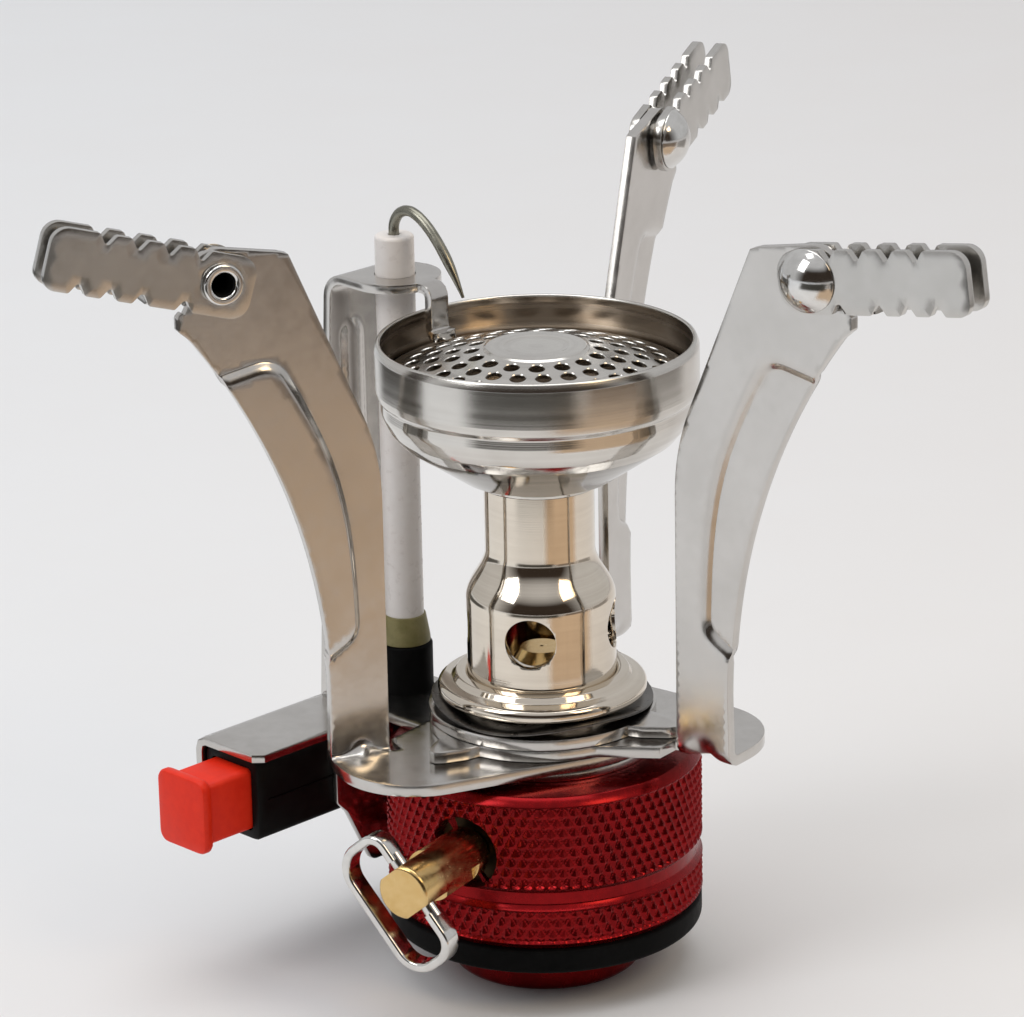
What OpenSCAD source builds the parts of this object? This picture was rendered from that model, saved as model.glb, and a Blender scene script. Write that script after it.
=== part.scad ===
// Backpacking stove. A valve body screws onto a gas canister and carries a
// burner on a column, three swinging legs with folding pot arms, and a
// push-button igniter. Millimetres, +Z up, Z = 0 at the canister face.

/* [Valve body] */
// radius of the knurled body
body_r = 17.5; // [14:0.1:24]
// height of the underside of the knurled body
body_bottom = 8.35; // [6:0.05:12]
// height of the top face of the body
body_top = 25.5; // [20:0.1:32]
// depth of the grip groove
groove_depth = 0.6; // [0.2:0.1:1.1]
// height of the grip groove over the underside
groove_rise = 4.25; // [2:0.05:6]
// width of the grip groove
groove_w = 2.4; // [2.2:0.1:4]
// edge break on the body
body_chamfer = 0.9; // [0.2:0.1:2]
// radius of the boss that meets the canister
boss_r = 10.6; // [8:0.1:14]
// radius of the canister thread socket
socket_r = 5.2; // [4.5:0.05:6]
// length of the canister thread
thread_length = 6.5; // [5:0.1:8]
// radius of the relief beyond the thread
relief_r = 5.7; // [5.3:0.1:6.5]
// length of the relief beyond the thread
relief_length = 3.0; // [2:0.1:4]
// radius of the gas passage
gas_bore_r = 1.1; // [0.6:0.1:1.6]

/* [Base ring] */
// set-back of the base ring from the body
base_ring_inset = 0.1; // [0:0.05:2]
// height of the base ring
base_ring_h = 3.28; // [2:0.02:5]
// edge break under the base ring
base_ring_chamfer = 0.6; // [0.2:0.1:1.5]

/* [Canister seal and pin] */
// ring radius of the canister seal
seal_ring_r = 3.4; // [2.8:0.1:4.2]
// cross-section radius of the canister seal
seal_wire_r = 0.8; // [0.4:0.05:1]
// radius of the pin that opens the canister
pin_r = 1.4; // [1:0.1:2]
// radius of the bore in the pin
pin_bore_r = 0.6; // [0.3:0.1:0.9]
// length of pin in the relief
pin_out = 2.8; // [1:0.1:3]
// length of pin held in the body
pin_hold = 3.4; // [2:0.1:5]

/* [Control valve] */
// direction of the valve spindle around the body, degrees
spindle_az = 239; // [0:1:359]
// depth of the spindle axis under the body's top
spindle_drop = 7.1; // [5:0.1:9]
// radius of the spindle stem
stem_r = 2.0; // [1.5:0.1:2.5]
// distance from the stove axis to the needle tip
needle_start = 1.6; // [1.3:0.1:3]
// radius of the needle tip
needle_tip_r = 0.5; // [0.2:0.1:1]
// length of the needle taper
needle_length = 1.8; // [1:0.1:4]
// radius of the brass grip of the spindle
grip_r = 3.0; // [2.2:0.1:3.5]
// length of grip inside the body
grip_sink = 1.0; // [0.5:0.1:2]
// length of grip outside the body
grip_out = 12.0; // [8:0.1:18]
// length of the two flats on the grip
grip_flat_length = 5.5; // [3:0.1:9]
// depth of each flat on the grip
grip_flat_depth = 0.5; // [0.2:0.05:1]
// radius of the spindle hole in the body
spindle_hole_r = 3.8; // [3.2:0.1:5]
// gap between the spigot and the gland nut
gland_gap = 2.0; // [1.8:0.1:3]
// depth of the gland nut under the body's side
gland_inset = 2.3; // [1.5:0.1:3]
// cross-section radius of the spindle seal
spindle_seal_wire_r = 0.7; // [0.4:0.05:0.9]

/* [Wire handle] */
// radius of the handle wire
handle_wire_r = 0.85; // [0.5:0.05:1.2]
// distance of the cross hole from the grip's end
handle_inset = 2.5; // [1.5:0.1:4]
// lean of the cross hole from level, degrees
handle_lean = 50; // [0:1:80]
// half the width of the handle loop
handle_half_w = 6.9; // [5.5:0.1:9]
// reach of the handle loop from its cross hole
handle_reach = 6.2; // [5.5:0.1:12]
// bend radius of the loop's corners
handle_bend_r = 2.0; // [1.2:0.1:2.6]

/* [Column] */
// radius of the spigot that carries the legs
spigot_r = 9.0; // [7:0.1:11]
// depth of the spigot in the body
spigot_depth = 4.4; // [2:0.1:6]
// width of the flange around the spigot
flange_w = 2.5; // [1:0.1:4]
// height of the low step above the flange
flange_step_h = 0.8; // [0.3:0.1:2]
// thickness of the flange
flange_t = 1.6; // [0.8:0.1:3]
// width of the low step around the tube
flange_step_w = 1.4; // [0.5:0.1:2]
// radius of the lower tube
tube_r = 8.2; // [6:0.1:10]
// wall of the lower tube
tube_wall = 1.2; // [0.6:0.1:2]
// length of the lower tube above the flange
tube_h = 9.3; // [8:0.1:16]
// height of the shoulder
shoulder_h = 5.6; // [2:0.1:8]
// radius of the upper tube
neck_r = 6.0; // [4:0.1:8]
// wall of the upper tube
neck_wall = 1.0; // [0.5:0.1:1.6]
// length of the upper tube above the shoulder
neck_h = 10.0; // [5:0.1:14]
// radius of the air holes
air_hole_r = 2.8; // [1.5:0.1:3.5]
// height of the air holes over the flange
air_hole_rise = 6.4; // [4.2:0.1:7]
// number of air holes
air_holes = 4; // [2:1:6]
// direction of the first air hole, degrees
air_hole_az = 261; // [0:1:359]

/* [Gas jet] */
// radius of the jet's threaded end
jet_thread_r = 2.5; // [1.5:0.1:3.5]
// distance across the flats of the jet's hexagon
jet_across_flats = 8.0; // [6:0.1:10]
// height of the jet's hexagon
jet_hex_h = 3.5; // [2:0.1:5]
// radius of the jet's barrel
jet_barrel_r = 3.3; // [2:0.1:4]
// depth of the jet's tip under the air holes
jet_drop = 3.1; // [0:0.1:4]
// height of the jet's bevelled tip
jet_tip_h = 1.5; // [0.8:0.1:3]
// radius of the jet's orifice
jet_orifice_r = 0.2; // [0.1:0.05:0.5]

/* [Burner bowl] */
// sheet of the bowl
bowl_t = 0.6; // [0.4:0.05:1]
// length of column held by the bowl
bowl_hold = 2.6; // [1.5:0.1:4]
// step from the bowl out to its band
bowl_step = 0.6; // [0.2:0.1:2]
// radius of the bowl's band
band_r = 17.5; // [14.5:0.1:25]
// height of the bowl under its band
bowl_h = 10.4; // [8:0.1:16]
// height of the band
band_h = 4.6; // [3:0.1:9]
// height of the rim over the band
rim_h = 1.2; // [0.4:0.1:3]
// height of the collar on the column
collar_h = 1.0; // [0.8:0.1:3]
// how far the flank is drawn in from the bowl's widest part
flank_in = 1.7; // [0.8:0.1:4]
// height of the flank over the collar
flank_h = 4.6; // [2:0.1:6]
// how far the crease is drawn in from the bowl's widest part
crease_in = 0.7; // [0.1:0.1:1]
// height of the crease over the collar
crease_h = 6.4; // [5:0.1:8]
// how far the rim turns in
rim_turn = 0.5; // [0:0.1:1]

/* [Burner plate] */
// sheet of the burner plate
plate_t = 0.5; // [0.3:0.05:0.8]
// gap between the burner plate and the band
plate_gap = 0.4; // [0.05:0.05:1]
// depth of the plate's edge under the rim
plate_drop = 3.8; // [3:0.1:4.4]
// rise of the plate to its centre
plate_rise = 3.0; // [2:0.1:3.4]
// radius of the plate's plain centre
plate_centre_r = 5.5; // [4:0.1:5.8]
// radius of each flame hole
flame_hole_r = 0.85; // [0.5:0.05:0.9]
// radius of the inner ring of flame holes
flame_ring_r = 7.0; // [6.8:0.1:8]
// step between the rings of flame holes
flame_ring_step = 2.15; // [2:0.05:2.4]
// rings of flame holes
flame_rings = 4; // [1:1:4]
// holes in the inner ring
flame_ring_count = 16; // [8:1:20]
// more holes in each ring outwards
flame_ring_more = 5; // [0:1:6]

/* [Legs] */
// sheet of the legs
leg_t = 1.2; // [0.8:0.1:2]
// direction of the left leg, degrees
left_az = 203; // [0:1:359]
// direction of the right leg, degrees
right_az = 323; // [0:1:359]
// direction of the back leg, degrees
back_az = 67; // [0:1:359]
// width of the leg's ring around the spigot
leg_ring_w = 3.5; // [2:0.1:6]
// width of the blade at its foot
blade_w = 6.8; // [5:0.1:12]
// corner radius of the foot plate
foot_corner_r = 9.0; // [4:0.1:11]
// gap between the blade and the bowl's band
blade_gap = 0.9; // [0.5:0.1:4]
// height where the blade starts to lean out
blade_bend_z = 34.7; // [25:0.1:45]
// lean of the blade's upper inner edge, degrees
blade_lean = 21.5; // [0:0.5:40]
// bend radius of the blade's inner edge
blade_bend_r = 26; // [10:1:50]
// height of the blade's top over the foot plate
blade_top = 58.4; // [45:0.1:75]
// set-back of the blade's outer edge from the foot plate's end
blade_inset = 0.2; // [0.1:0.05:1]
// height where the blade's outer edge starts to curve
blade_curve_z = 8.0; // [3:0.1:20]
// radius of the blade's outer edge
blade_curve_r = 70; // [50:1:110]
// distance from the blade's inner edge to the arm pivot
pivot_reach = 17.4; // [12:0.1:26]
// height of the arm pivot over the foot plate
pivot_z = 56.2; // [45:0.1:70]
// radius of the blade's round head
head_r = 3.4; // [2.8:0.1:5]
// distance from the arm pivot to the tip of the stop hook
hook_reach = 4.6; // [4:0.1:8]
// height of the stop hook over the foot plate
hook_z = 52.7; // [45:0.1:65]
// depth of the stop hook
hook_depth = 2.5; // [1.5:0.1:4]
// width of the pressed panel on the blade
panel_w = 4.6; // [2:0.1:6]
// height of the pressed panel's lower end
panel_bottom = 13.1; // [8:0.1:20]
// height of the pressed panel's upper end
panel_top = 47.8; // [30:0.1:50]
// how far the panel is pressed out
panel_press = 0.5; // [0.1:0.05:0.6]
// gap between the detent lug and the blades
lug_gap = 1.2; // [0.5:0.1:3]
// width of the detent lug
lug_w = 4.0; // [2:0.1:6]
// direction of the detent lug from the leg, degrees
lug_az = -98; // [-180:1:0]

/* [Pot arms] */
// sheet of the arms
arm_t = 0.9; // [0.6:0.05:1.5]
// length of the arm beyond its pivot
arm_length = 19.2; // [15:0.1:30]
// length of the arm behind its pivot
arm_back = 3.5; // [3:0.1:6]
// height of the arm's wall over the pivot
arm_over = 3.2; // [2.6:0.1:5]
// height of the arm's wall under the pivot
arm_under = 3.5; // [3:0.1:6]
// corner radius at the arm's tip
arm_tip_r = 1.8; // [0.5:0.1:3]
// corner radius at the arm's inner end
arm_heel_r = 2.4; // [0.5:0.1:3]
// width of each pot notch
notch_w = 1.9; // [0.8:0.1:2.6]
// depth of each pot notch
notch_d = 1.1; // [0.4:0.1:1.8]
// step between the pot notches
notch_step = 3.5; // [2.8:0.1:5]
// place of the first upper notch from the pivot
upper_notch = 2.75; // [2:0.05:6]
// number of upper notches
upper_notches = 4; // [1:1:6]
// place of the first lower notch from the pivot
lower_notch = 8.3; // [6:0.1:10]
// number of lower notches
lower_notches = 3; // [1:1:5]
// start of the web that joins the two walls
web_start = 4.4; // [4:0.1:6]
// end of the web that joins the two walls
web_end = 7.6; // [6:0.1:12]
// rest slope of the left arm, degrees
left_tilt = 16; // [6:1:60]
// rest slope of the right arm, degrees
right_tilt = 8; // [6:1:60]
// rest slope of the back arm, degrees
back_tilt = 14; // [6:1:60]

/* [Rivets] */
// radius of the rivet shank
rivet_r = 1.9; // [1.2:0.1:2.5]
// radius of the rivet head
rivet_head_r = 3.6; // [2.6:0.1:4.5]
// height of the rivet head
rivet_head_h = 2.2; // [1:0.1:3]
// radius of the rolled end
rivet_roll_r = 2.4; // [2:0.1:3.5]
// height of the rolled end
rivet_roll_h = 0.6; // [0.3:0.1:1]
// radius of the hole in the rolled end
rivet_bore_r = 1.4; // [0.6:0.1:1.6]
// depth of the hole in the rolled end
rivet_bore_d = 2.6; // [1:0.1:3.5]

/* [Wave washer] */
// sheet of the wave washer
wave_t = 0.3; // [0.2:0.05:0.6]
// set-back of the wave washer from the leg rings
wave_inset = 0.3; // [0:0.1:2]
// rise of each wave
wave_rise = 0.88; // [0.2:0.02:1.5]
// number of waves
waves = 3; // [2:1:6]

/* [Igniter bracket] */
// sheet of the bracket
bracket_t = 1.0; // [0.6:0.1:1.6]
// direction of the igniter case, degrees
igniter_az = 45; // [0:1:359]
// outer end of the bracket's shelf along the case
shelf_start = -26.5; // [-35:0.1:-15]
// inner end of the bracket's shelf along the case
shelf_end = 4.0; // [2:0.1:8]
// start of the bracket's neck and upright along the case
upright_start = -8.0; // [-12:0.1:-4]
// start of the upright's narrower top end along the case
upright_top_start = -5.0; // [-8:0.1:-4]
// gap between the case and the bracket's outer wall
case_side_gap = 0.1; // [0.05:0.05:1]
// gap between the rim and the bracket's top plate
top_plate_gap = 2.2; // [0.1:0.1:3]
// radius of the top plate around the insulator
top_plate_r = 5.1; // [3.5:0.1:7]
// half the width of the tab that hooks over the rim
tab_half_w = 1.3; // [1:0.1:4]
// reach of the tab inside the band
tab_reach = 2.9; // [2.4:0.1:4]
// reach of the tab under the rim
tab_drop = 1.8; // [0.5:0.1:2]
// reach of the side skirt under the case
skirt_drop = 6.9; // [2:0.1:10]
// outer edge of the side skirt along the case
skirt_start = -15.0; // [-20:0.1:-10]
// inner edge of the side skirt along the case
skirt_end = -6.0; // [-8:0.1:-2]
// length of the rib on the upright
rib_length = 37; // [10:1:44]
// width of the rib on the upright
rib_w = 2.6; // [1:0.1:5]
// height of the rib over the sheet
rib_h = 0.4; // [0.2:0.1:1]

/* [Igniter] */
// gap between the body and the case
case_gap = 0.9; // [0.85:0.05:4]
// width of the case
case_w = 8.5; // [7:0.1:12]
// height of the case
case_h = 9.4; // [7:0.1:12]
// outer end of the case
case_start = -26.0; // [-34:0.1:-16]
// inner end of the case
case_end = 3.6; // [3:0.1:8]
// wall of the case
case_wall = 1.0; // [0.6:0.1:1.6]
// length of button outside the case
button_out = 7.5; // [5:0.1:12]
// thickness of the button's face plate
button_plate_t = 1.1; // [0.6:0.1:2]
// how far the button's face plate stands proud of its stem
button_lip = 0.7; // [0.2:0.1:1.2]
// length of button stem inside the case
button_in = 9.0; // [6:0.1:14]
// radius of the bore for the button's spring
button_bore_r = 2.5; // [1.5:0.1:3]
// depth of the bore for the button's spring
button_bore_d = 12; // [6:0.5:14]
// wire radius of the button's spring
spring_wire_r = 0.3; // [0.2:0.05:0.5]
// coil radius of the button's spring
spring_r = 2.0; // [1.2:0.1:2.6]
// number of turns of the button's spring
spring_turns = 8; // [4:1:16]
// length of the hammer
hammer_length = 4.0; // [2:0.1:7]
// length of the piezo element
piezo_length = 8.6; // [5:0.1:12]
// place of the insulator along the case
insulator_e = -0.2; // [-3:0.1:1]
// gap between the burner and the insulator
insulator_gap = 1.9; // [0.8:0.1:4]
// radius of the ceramic insulator
insulator_r = 2.2; // [1.5:0.1:3]
// length of insulator held in the boot
boot_grip = 3.0; // [1:0.1:5]
// length of insulator above the top plate
insulator_out = 4.5; // [2:0.1:12]
// radius of the rubber boot
boot_r = 3.1; // [2.6:0.1:4]
// height of the rubber boot
boot_h = 6.5; // [5:0.1:9]
// radius of the sleeve over the boot
sleeve_r = 2.75; // [2.4:0.1:3.5]
// height of the sleeve
sleeve_h = 3.0; // [1.5:0.1:6]
// radius of the electrode wire
electrode_r = 0.5; // [0.3:0.05:0.8]
// length of electrode held in the insulator
electrode_hold = 18; // [8:1:30]
// radius of the electrode's hook
electrode_bend_r = 2.5; // [1.5:0.1:5]
// turn of the electrode's hook, degrees
electrode_turn = 140; // [90:1:175]
// straight length of the electrode over the insulator
electrode_rise = 0.5; // [0.5:0.1:4]
// straight length of the electrode's tip
electrode_tip = 9.4; // [3:0.1:12]
// radius of the electrode's ground tip
electrode_tip_r = 0.45; // [0.2:0.05:0.8]

/* [Fits] */
// gap between the pieces of the leg stack
stack_gap = 0.08; // [0.03:0.01:0.3]
// radial clearance of turning fits
turn_fit = 0.06; // [0.02:0.01:0.1]
// radial clearance of pressed and screwed fits
press_fit = 0.02; // [0:0.01:0.05]
// side clearance of the arms on the blades
arm_gap = 0.4; // [0.2:0.05:0.8]
// clearance of the button in the case
slide_gap = 0.12; // [0.05:0.01:0.3]

/* [Hidden] */
$fn = 96;
eps = 0.05;
socket_depth = thread_length + relief_length;
groove_r = body_r - groove_depth;
groove_bottom = body_bottom + groove_rise;
groove_top = groove_bottom + groove_w;
base_ring_r = body_r - base_ring_inset;
base_ring_top = body_bottom - press_fit;
base_ring_bottom = base_ring_top - base_ring_h;
pin_bottom = socket_depth - pin_out;
pin_top = socket_depth + pin_hold;
spindle_z = body_top - spindle_drop;
grip_start = body_r - grip_sink;
grip_end = body_r + grip_out;
gland_end = body_r - gland_inset;
gland_start = spigot_r + gland_gap;
handle_at = grip_end - handle_inset;
jet_seat = body_top - spigot_depth;
spigot_bore_r = tube_r - tube_wall;
neck_bore_r = neck_r - neck_wall;
leg_ring_r = spigot_r + leg_ring_w;
wave_r = leg_ring_r - wave_inset;
flange_r = spigot_r + flange_w;
flange_step_r = tube_r + flange_step_w;
shelf_bottom = body_top + press_fit;
shelf_top = shelf_bottom + bracket_t;
left_z = shelf_top + stack_gap;
right_z = left_z + leg_t + stack_gap;
back_z = right_z + leg_t + stack_gap;
wave_bottom = back_z + leg_t + stack_gap;
flange_bottom = wave_bottom + wave_t + wave_rise + stack_gap;
flange_top = flange_bottom + flange_t;
air_hole_z = flange_top + air_hole_rise;
jet_top = air_hole_z - jet_drop;
shoulder_bottom = flange_top + tube_h;
shoulder_top = shoulder_bottom + shoulder_h;
column_top = shoulder_top + neck_h;
bowl_collar_r = neck_r + press_fit;
bowl_r = band_r - bowl_step;
bowl_bottom = column_top - bowl_hold;
band_bottom = bowl_bottom + bowl_h;
band_top = band_bottom + band_h;
rim_z = band_top + rim_h;
plate_r = band_r - bowl_t - plate_gap;
plate_edge_z = rim_z - plate_drop;
plate_centre_z = plate_edge_z + plate_rise;
blade_in = band_r + blade_gap;
foot_end = blade_in + blade_w;
blade_out = foot_end - blade_inset;
curve_c = [blade_out + blade_curve_r, blade_curve_z];
pivot_x = blade_in + pivot_reach;
hook_x = pivot_x + hook_reach;
lug_r = blade_in - lug_gap;
arm_half = leg_t / 2 + arm_gap + arm_t;
rivet_face = arm_half + turn_fit;
case_near = body_r + case_gap;
case_bottom = body_top - case_h;
case_n = case_near + case_w / 2;
case_z = case_bottom + case_h / 2;
cavity_w = case_w - 2 * case_wall;
cavity_h = case_h - 2 * case_wall;
cavity_end = case_end - case_wall;
stem_w = cavity_w - 2 * slide_gap;
stem_h = cavity_h - 2 * slide_gap;
button_start = case_start - button_out;
stem_end = case_start + button_in;
piezo_start = cavity_end - press_fit - piezo_length;
hammer_start = piezo_start - press_fit - hammer_length;
piezo_r = cavity_w / 2 - press_fit;
bore_floor = stem_end - button_bore_d;
upright_face = case_near + case_w + case_side_gap + bracket_t;
top_plate_under = rim_z + top_plate_gap;
top_plate_z = top_plate_under + bracket_t;
tab_in = band_r - tab_reach;
tab_bottom = rim_z - tab_drop;
skirt_bottom = case_bottom - skirt_drop;
insulator_n = max(body_r, band_r) + insulator_gap + insulator_r;
boot_top = body_top + boot_h;
insulator_bottom = boot_top - boot_grip;
insulator_top = top_plate_z + insulator_out;
sleeve_top = boot_top + sleeve_h;

// Points on an arc from angle a0 to a1.
function arc(c, r, a0, a1, n = 12) =
    [for (i = [0 : n]) c + r * [cos(a0 + (a1 - a0) * i / n), sin(a0 + (a1 - a0) * i / n)]];

// Turns what is drawn along X at the spindle's height to the spindle's direction.
module on_spindle() {
    rotate([0, 0, spindle_az]) translate([0, 0, spindle_z]) children();
}

// A cylinder along X from x0 to x1.
module rod_x(x0, x1, r0, r1) {
    translate([x0, 0, 0]) rotate([0, 90, 0]) cylinder(h = x1 - x0, r1 = r0, r2 = r1);
}

// Lifts a flat outline drawn in X and Z to a sheet between two values of Y.
module upright_sheet(y0, y1) {
    translate([0, y1, 0]) rotate([90, 0, 0]) linear_extrude(y1 - y0) children();
}

// A rectangle with its own radius at each end.
module rounded_bar(x0, x1, y0, y1, r0, r1) {
    translate([x0 + r0, y0]) square([x1 - r1 - x0 - r0, y1 - y0]);
    translate([x0, y0 + r0]) square([r0 + eps, y1 - y0 - 2 * r0]);
    translate([x1 - r1 - eps, y0 + r1]) square([r1 + eps, y1 - y0 - 2 * r1]);
    for (y = [y0 + r0, y1 - r0]) translate([x0 + r0, y]) circle(r0);
    for (y = [y0 + r1, y1 - r1]) translate([x1 - r1, y]) circle(r1);
}

// Red anodised body with the canister thread, the gas passage, the spindle
// bore and the ring slot that takes the column's spigot.
module valve_body() {
    seal_pocket_r = stem_r + 2 * spindle_seal_wire_r + press_fit;
    seal_pocket = gland_start - 2 * spindle_seal_wire_r - 2 * press_fit;
    color("firebrick") difference() {
        rotate_extrude() polygon([
            [0, 0], [boss_r - body_chamfer, 0], [boss_r, body_chamfer],
            [boss_r, body_bottom], [body_r - body_chamfer / 2, body_bottom],
            [body_r, body_bottom + body_chamfer / 2], [body_r, groove_bottom],
            [groove_r, groove_bottom + body_r - groove_r],
            [groove_r, groove_top - body_r + groove_r], [body_r, groove_top],
            [body_r, body_top - body_chamfer], [body_r - body_chamfer, body_top],
            [0, body_top]
        ]);
        translate([0, 0, -eps]) cylinder(h = thread_length + 2 * eps, r = socket_r);
        translate([0, 0, thread_length]) cylinder(h = relief_length, r = relief_r);
        cylinder(h = pin_top, r = pin_r + press_fit);
        cylinder(h = body_top, r = gas_bore_r);
        translate([0, 0, jet_seat]) cylinder(h = spigot_depth + eps, r = jet_thread_r + press_fit);
        translate([0, 0, jet_seat]) difference() {
            cylinder(h = spigot_depth + eps, r = spigot_r + press_fit);
            translate([0, 0, -eps]) cylinder(h = spigot_depth + 3 * eps, r = spigot_bore_r - press_fit);
        }
        on_spindle() {
            rod_x(0, gland_end, stem_r + turn_fit, stem_r + turn_fit);
            rod_x(seal_pocket, gland_start + eps, seal_pocket_r, seal_pocket_r);
            rod_x(gland_start, body_r + eps, spindle_hole_r, spindle_hole_r);
        }
    }
}

// Black rubber ring under the body.
module base_ring() {
    color("dimgray") rotate_extrude() polygon([
        [boss_r + press_fit, base_ring_bottom],
        [base_ring_r - base_ring_chamfer, base_ring_bottom],
        [base_ring_r, base_ring_bottom + base_ring_chamfer],
        [base_ring_r, base_ring_top], [boss_r + press_fit, base_ring_top]
    ]);
}

// Rubber seal at the end of the canister socket.
module canister_seal() {
    color("black") translate([0, 0, socket_depth - seal_wire_r - press_fit])
        rotate_extrude() translate([seal_ring_r, 0]) circle(seal_wire_r);
}

// Hollow pin that opens the canister's own valve.
module valve_pin() {
    color("goldenrod") difference() {
        translate([0, 0, pin_bottom]) cylinder(h = pin_top - pin_bottom, r = pin_r);
        translate([0, 0, pin_bottom - eps]) cylinder(h = pin_top, r = pin_bore_r);
    }
}

// Brass jet screwed into the body, with its fine hole at the top.
module gas_jet() {
    hex_top = body_top + jet_hex_h;
    tip_r = jet_barrel_r * 0.7;
    color("goldenrod") difference() {
        union() {
            translate([0, 0, jet_seat + press_fit]) cylinder(h = spigot_depth, r = jet_thread_r);
            translate([0, 0, body_top + press_fit])
                cylinder(h = jet_hex_h, r = jet_across_flats / 2 / cos(30), $fn = 6);
            translate([0, 0, hex_top]) cylinder(h = jet_top - jet_tip_h - hex_top, r = jet_barrel_r);
            translate([0, 0, jet_top - jet_tip_h]) cylinder(h = jet_tip_h, r1 = jet_barrel_r, r2 = tip_r);
        }
        translate([0, 0, jet_seat]) cylinder(h = jet_top - jet_tip_h / 2 - jet_seat, r = gas_bore_r);
        cylinder(h = jet_top + eps, r = jet_orifice_r);
    }
}

// Nut that holds the spindle in its bore.
module gland_nut() {
    nut_r = spindle_hole_r - press_fit;
    color("goldenrod") on_spindle() difference() {
        rod_x(gland_start, gland_end, nut_r, nut_r);
        rod_x(gland_start - eps, gland_end + eps, stem_r + turn_fit, stem_r + turn_fit);
    }
}

// Rubber seal around the spindle's stem.
module spindle_seal() {
    seal_at = gland_start - spindle_seal_wire_r - press_fit;
    color("black") on_spindle() translate([seal_at, 0, 0]) rotate([0, 90, 0])
        rotate_extrude() translate([stem_r + spindle_seal_wire_r + turn_fit / 2, 0])
            circle(spindle_seal_wire_r - turn_fit / 2);
}

// Brass needle spindle with a flatted grip and a cross hole for the handle.
module valve_spindle() {
    tip_chamfer = 0.5;
    needle_end = needle_start + needle_length;
    color("goldenrod") on_spindle() difference() {
        union() {
            rod_x(needle_start, needle_end, needle_tip_r, stem_r);
            rod_x(needle_end, grip_start, stem_r, stem_r);
            rod_x(grip_start, grip_end - tip_chamfer, grip_r, grip_r);
            rod_x(grip_end - tip_chamfer, grip_end, grip_r, grip_r - tip_chamfer);
        }
        rotate([-handle_lean, 0, 0]) {
            for (side = [-1, 1]) translate([
                grip_end - grip_flat_length, side * (2 * grip_r - grip_flat_depth) - grip_r, -grip_r
            ])
                cube([grip_flat_length + eps, 2 * grip_r, 2 * grip_r]);
            translate([handle_at, -2 * grip_r, 0]) rotate([-90, 0, 0])
                cylinder(h = 4 * grip_r, r = handle_wire_r + turn_fit);
        }
    }
}

// Bent wire loop that turns the spindle and folds about its cross hole.
module handle_loop() {
    bar_half = handle_half_w - handle_bend_r;
    side_length = handle_reach - 2 * handle_bend_r;
    color("silver") on_spindle() translate([handle_at, 0, 0])
        rotate([-handle_lean, 0, 0]) rotate([90, 0, 90]) {
            for (y = [0, -handle_reach])
                translate([0, y, 0]) rod_x(-bar_half, bar_half, handle_wire_r, handle_wire_r);
            for (side = [0, 1]) mirror([side, 0, 0]) {
                translate([bar_half, -handle_bend_r, 0]) rotate_extrude(angle = 90)
                    translate([handle_bend_r, 0]) circle(handle_wire_r);
                translate([bar_half, handle_bend_r - handle_reach, 0]) rotate([0, 0, -90])
                    rotate_extrude(angle = 90) translate([handle_bend_r, 0]) circle(handle_wire_r);
                translate([handle_half_w, -handle_bend_r, 0]) rotate([90, 0, 0])
                    cylinder(h = side_length, r = handle_wire_r);
            }
        }
}

// Plated tube: spigot for the legs, flange, air holes and shoulder.
module burner_column() {
    spigot_bottom = jet_seat + press_fit;
    step_top = flange_top + flange_step_h;
    edge = 0.4;
    color("lightgray") difference() {
        rotate_extrude() polygon(concat([
            [spigot_bore_r, spigot_bottom], [spigot_r, spigot_bottom],
            [spigot_r, flange_bottom], [flange_r - edge, flange_bottom],
            [flange_r, flange_bottom + edge], [flange_r, flange_top - edge],
            [flange_r - edge, flange_top], [flange_step_r, flange_top],
            [flange_step_r - edge, step_top], [tube_r, step_top],
            [tube_r, shoulder_bottom]],
            [for (a = [20 : 20 : 180]) [
                neck_r + (tube_r - neck_r) * (1 + cos(a)) / 2, shoulder_bottom + shoulder_h * a / 180]],
            [[neck_r, column_top], [neck_bore_r, column_top],
            [neck_bore_r, shoulder_top + edge], [spigot_bore_r, shoulder_bottom]]
        ));
        for (i = [0 : air_holes - 1])
            rotate([0, 0, air_hole_az + i * 360 / air_holes]) translate([0, 0, air_hole_z])
                rod_x(spigot_bore_r / 2, tube_r + eps, air_hole_r, air_hole_r);
    }
}

// Spun sheet bowl pressed onto the column's top.
module burner_bowl() {
    floor_z = bowl_bottom + collar_h;
    step_z = band_bottom - bowl_step;
    flank_r = bowl_r - flank_in;
    flank_z = floor_z + flank_h;
    crease_r = bowl_r - crease_in;
    crease_z = floor_z + crease_h;
    waist_z = (crease_z + step_z) / 2;
    color("silver") rotate_extrude() polygon([
        [bowl_collar_r, bowl_bottom], [bowl_collar_r + bowl_t, bowl_bottom],
        [bowl_collar_r + bowl_t, floor_z - bowl_t], [bowl_r / 2, floor_z],
        [flank_r, flank_z], [crease_r, crease_z], [bowl_r, waist_z],
        [bowl_r, step_z], [band_r, band_bottom], [band_r, band_top],
        [band_r - rim_turn, rim_z], [band_r - rim_turn - bowl_t, rim_z],
        [band_r - bowl_t, band_top], [band_r - bowl_t, band_bottom + bowl_t],
        [bowl_r - bowl_t, step_z + bowl_t], [bowl_r - bowl_t, waist_z],
        [crease_r - bowl_t, crease_z + bowl_t / 2], [flank_r - bowl_t, flank_z + bowl_t / 2],
        [bowl_r / 2 - bowl_t / 2, floor_z + bowl_t], [bowl_collar_r, floor_z + bowl_t / 2]
    ]);
}

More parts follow.
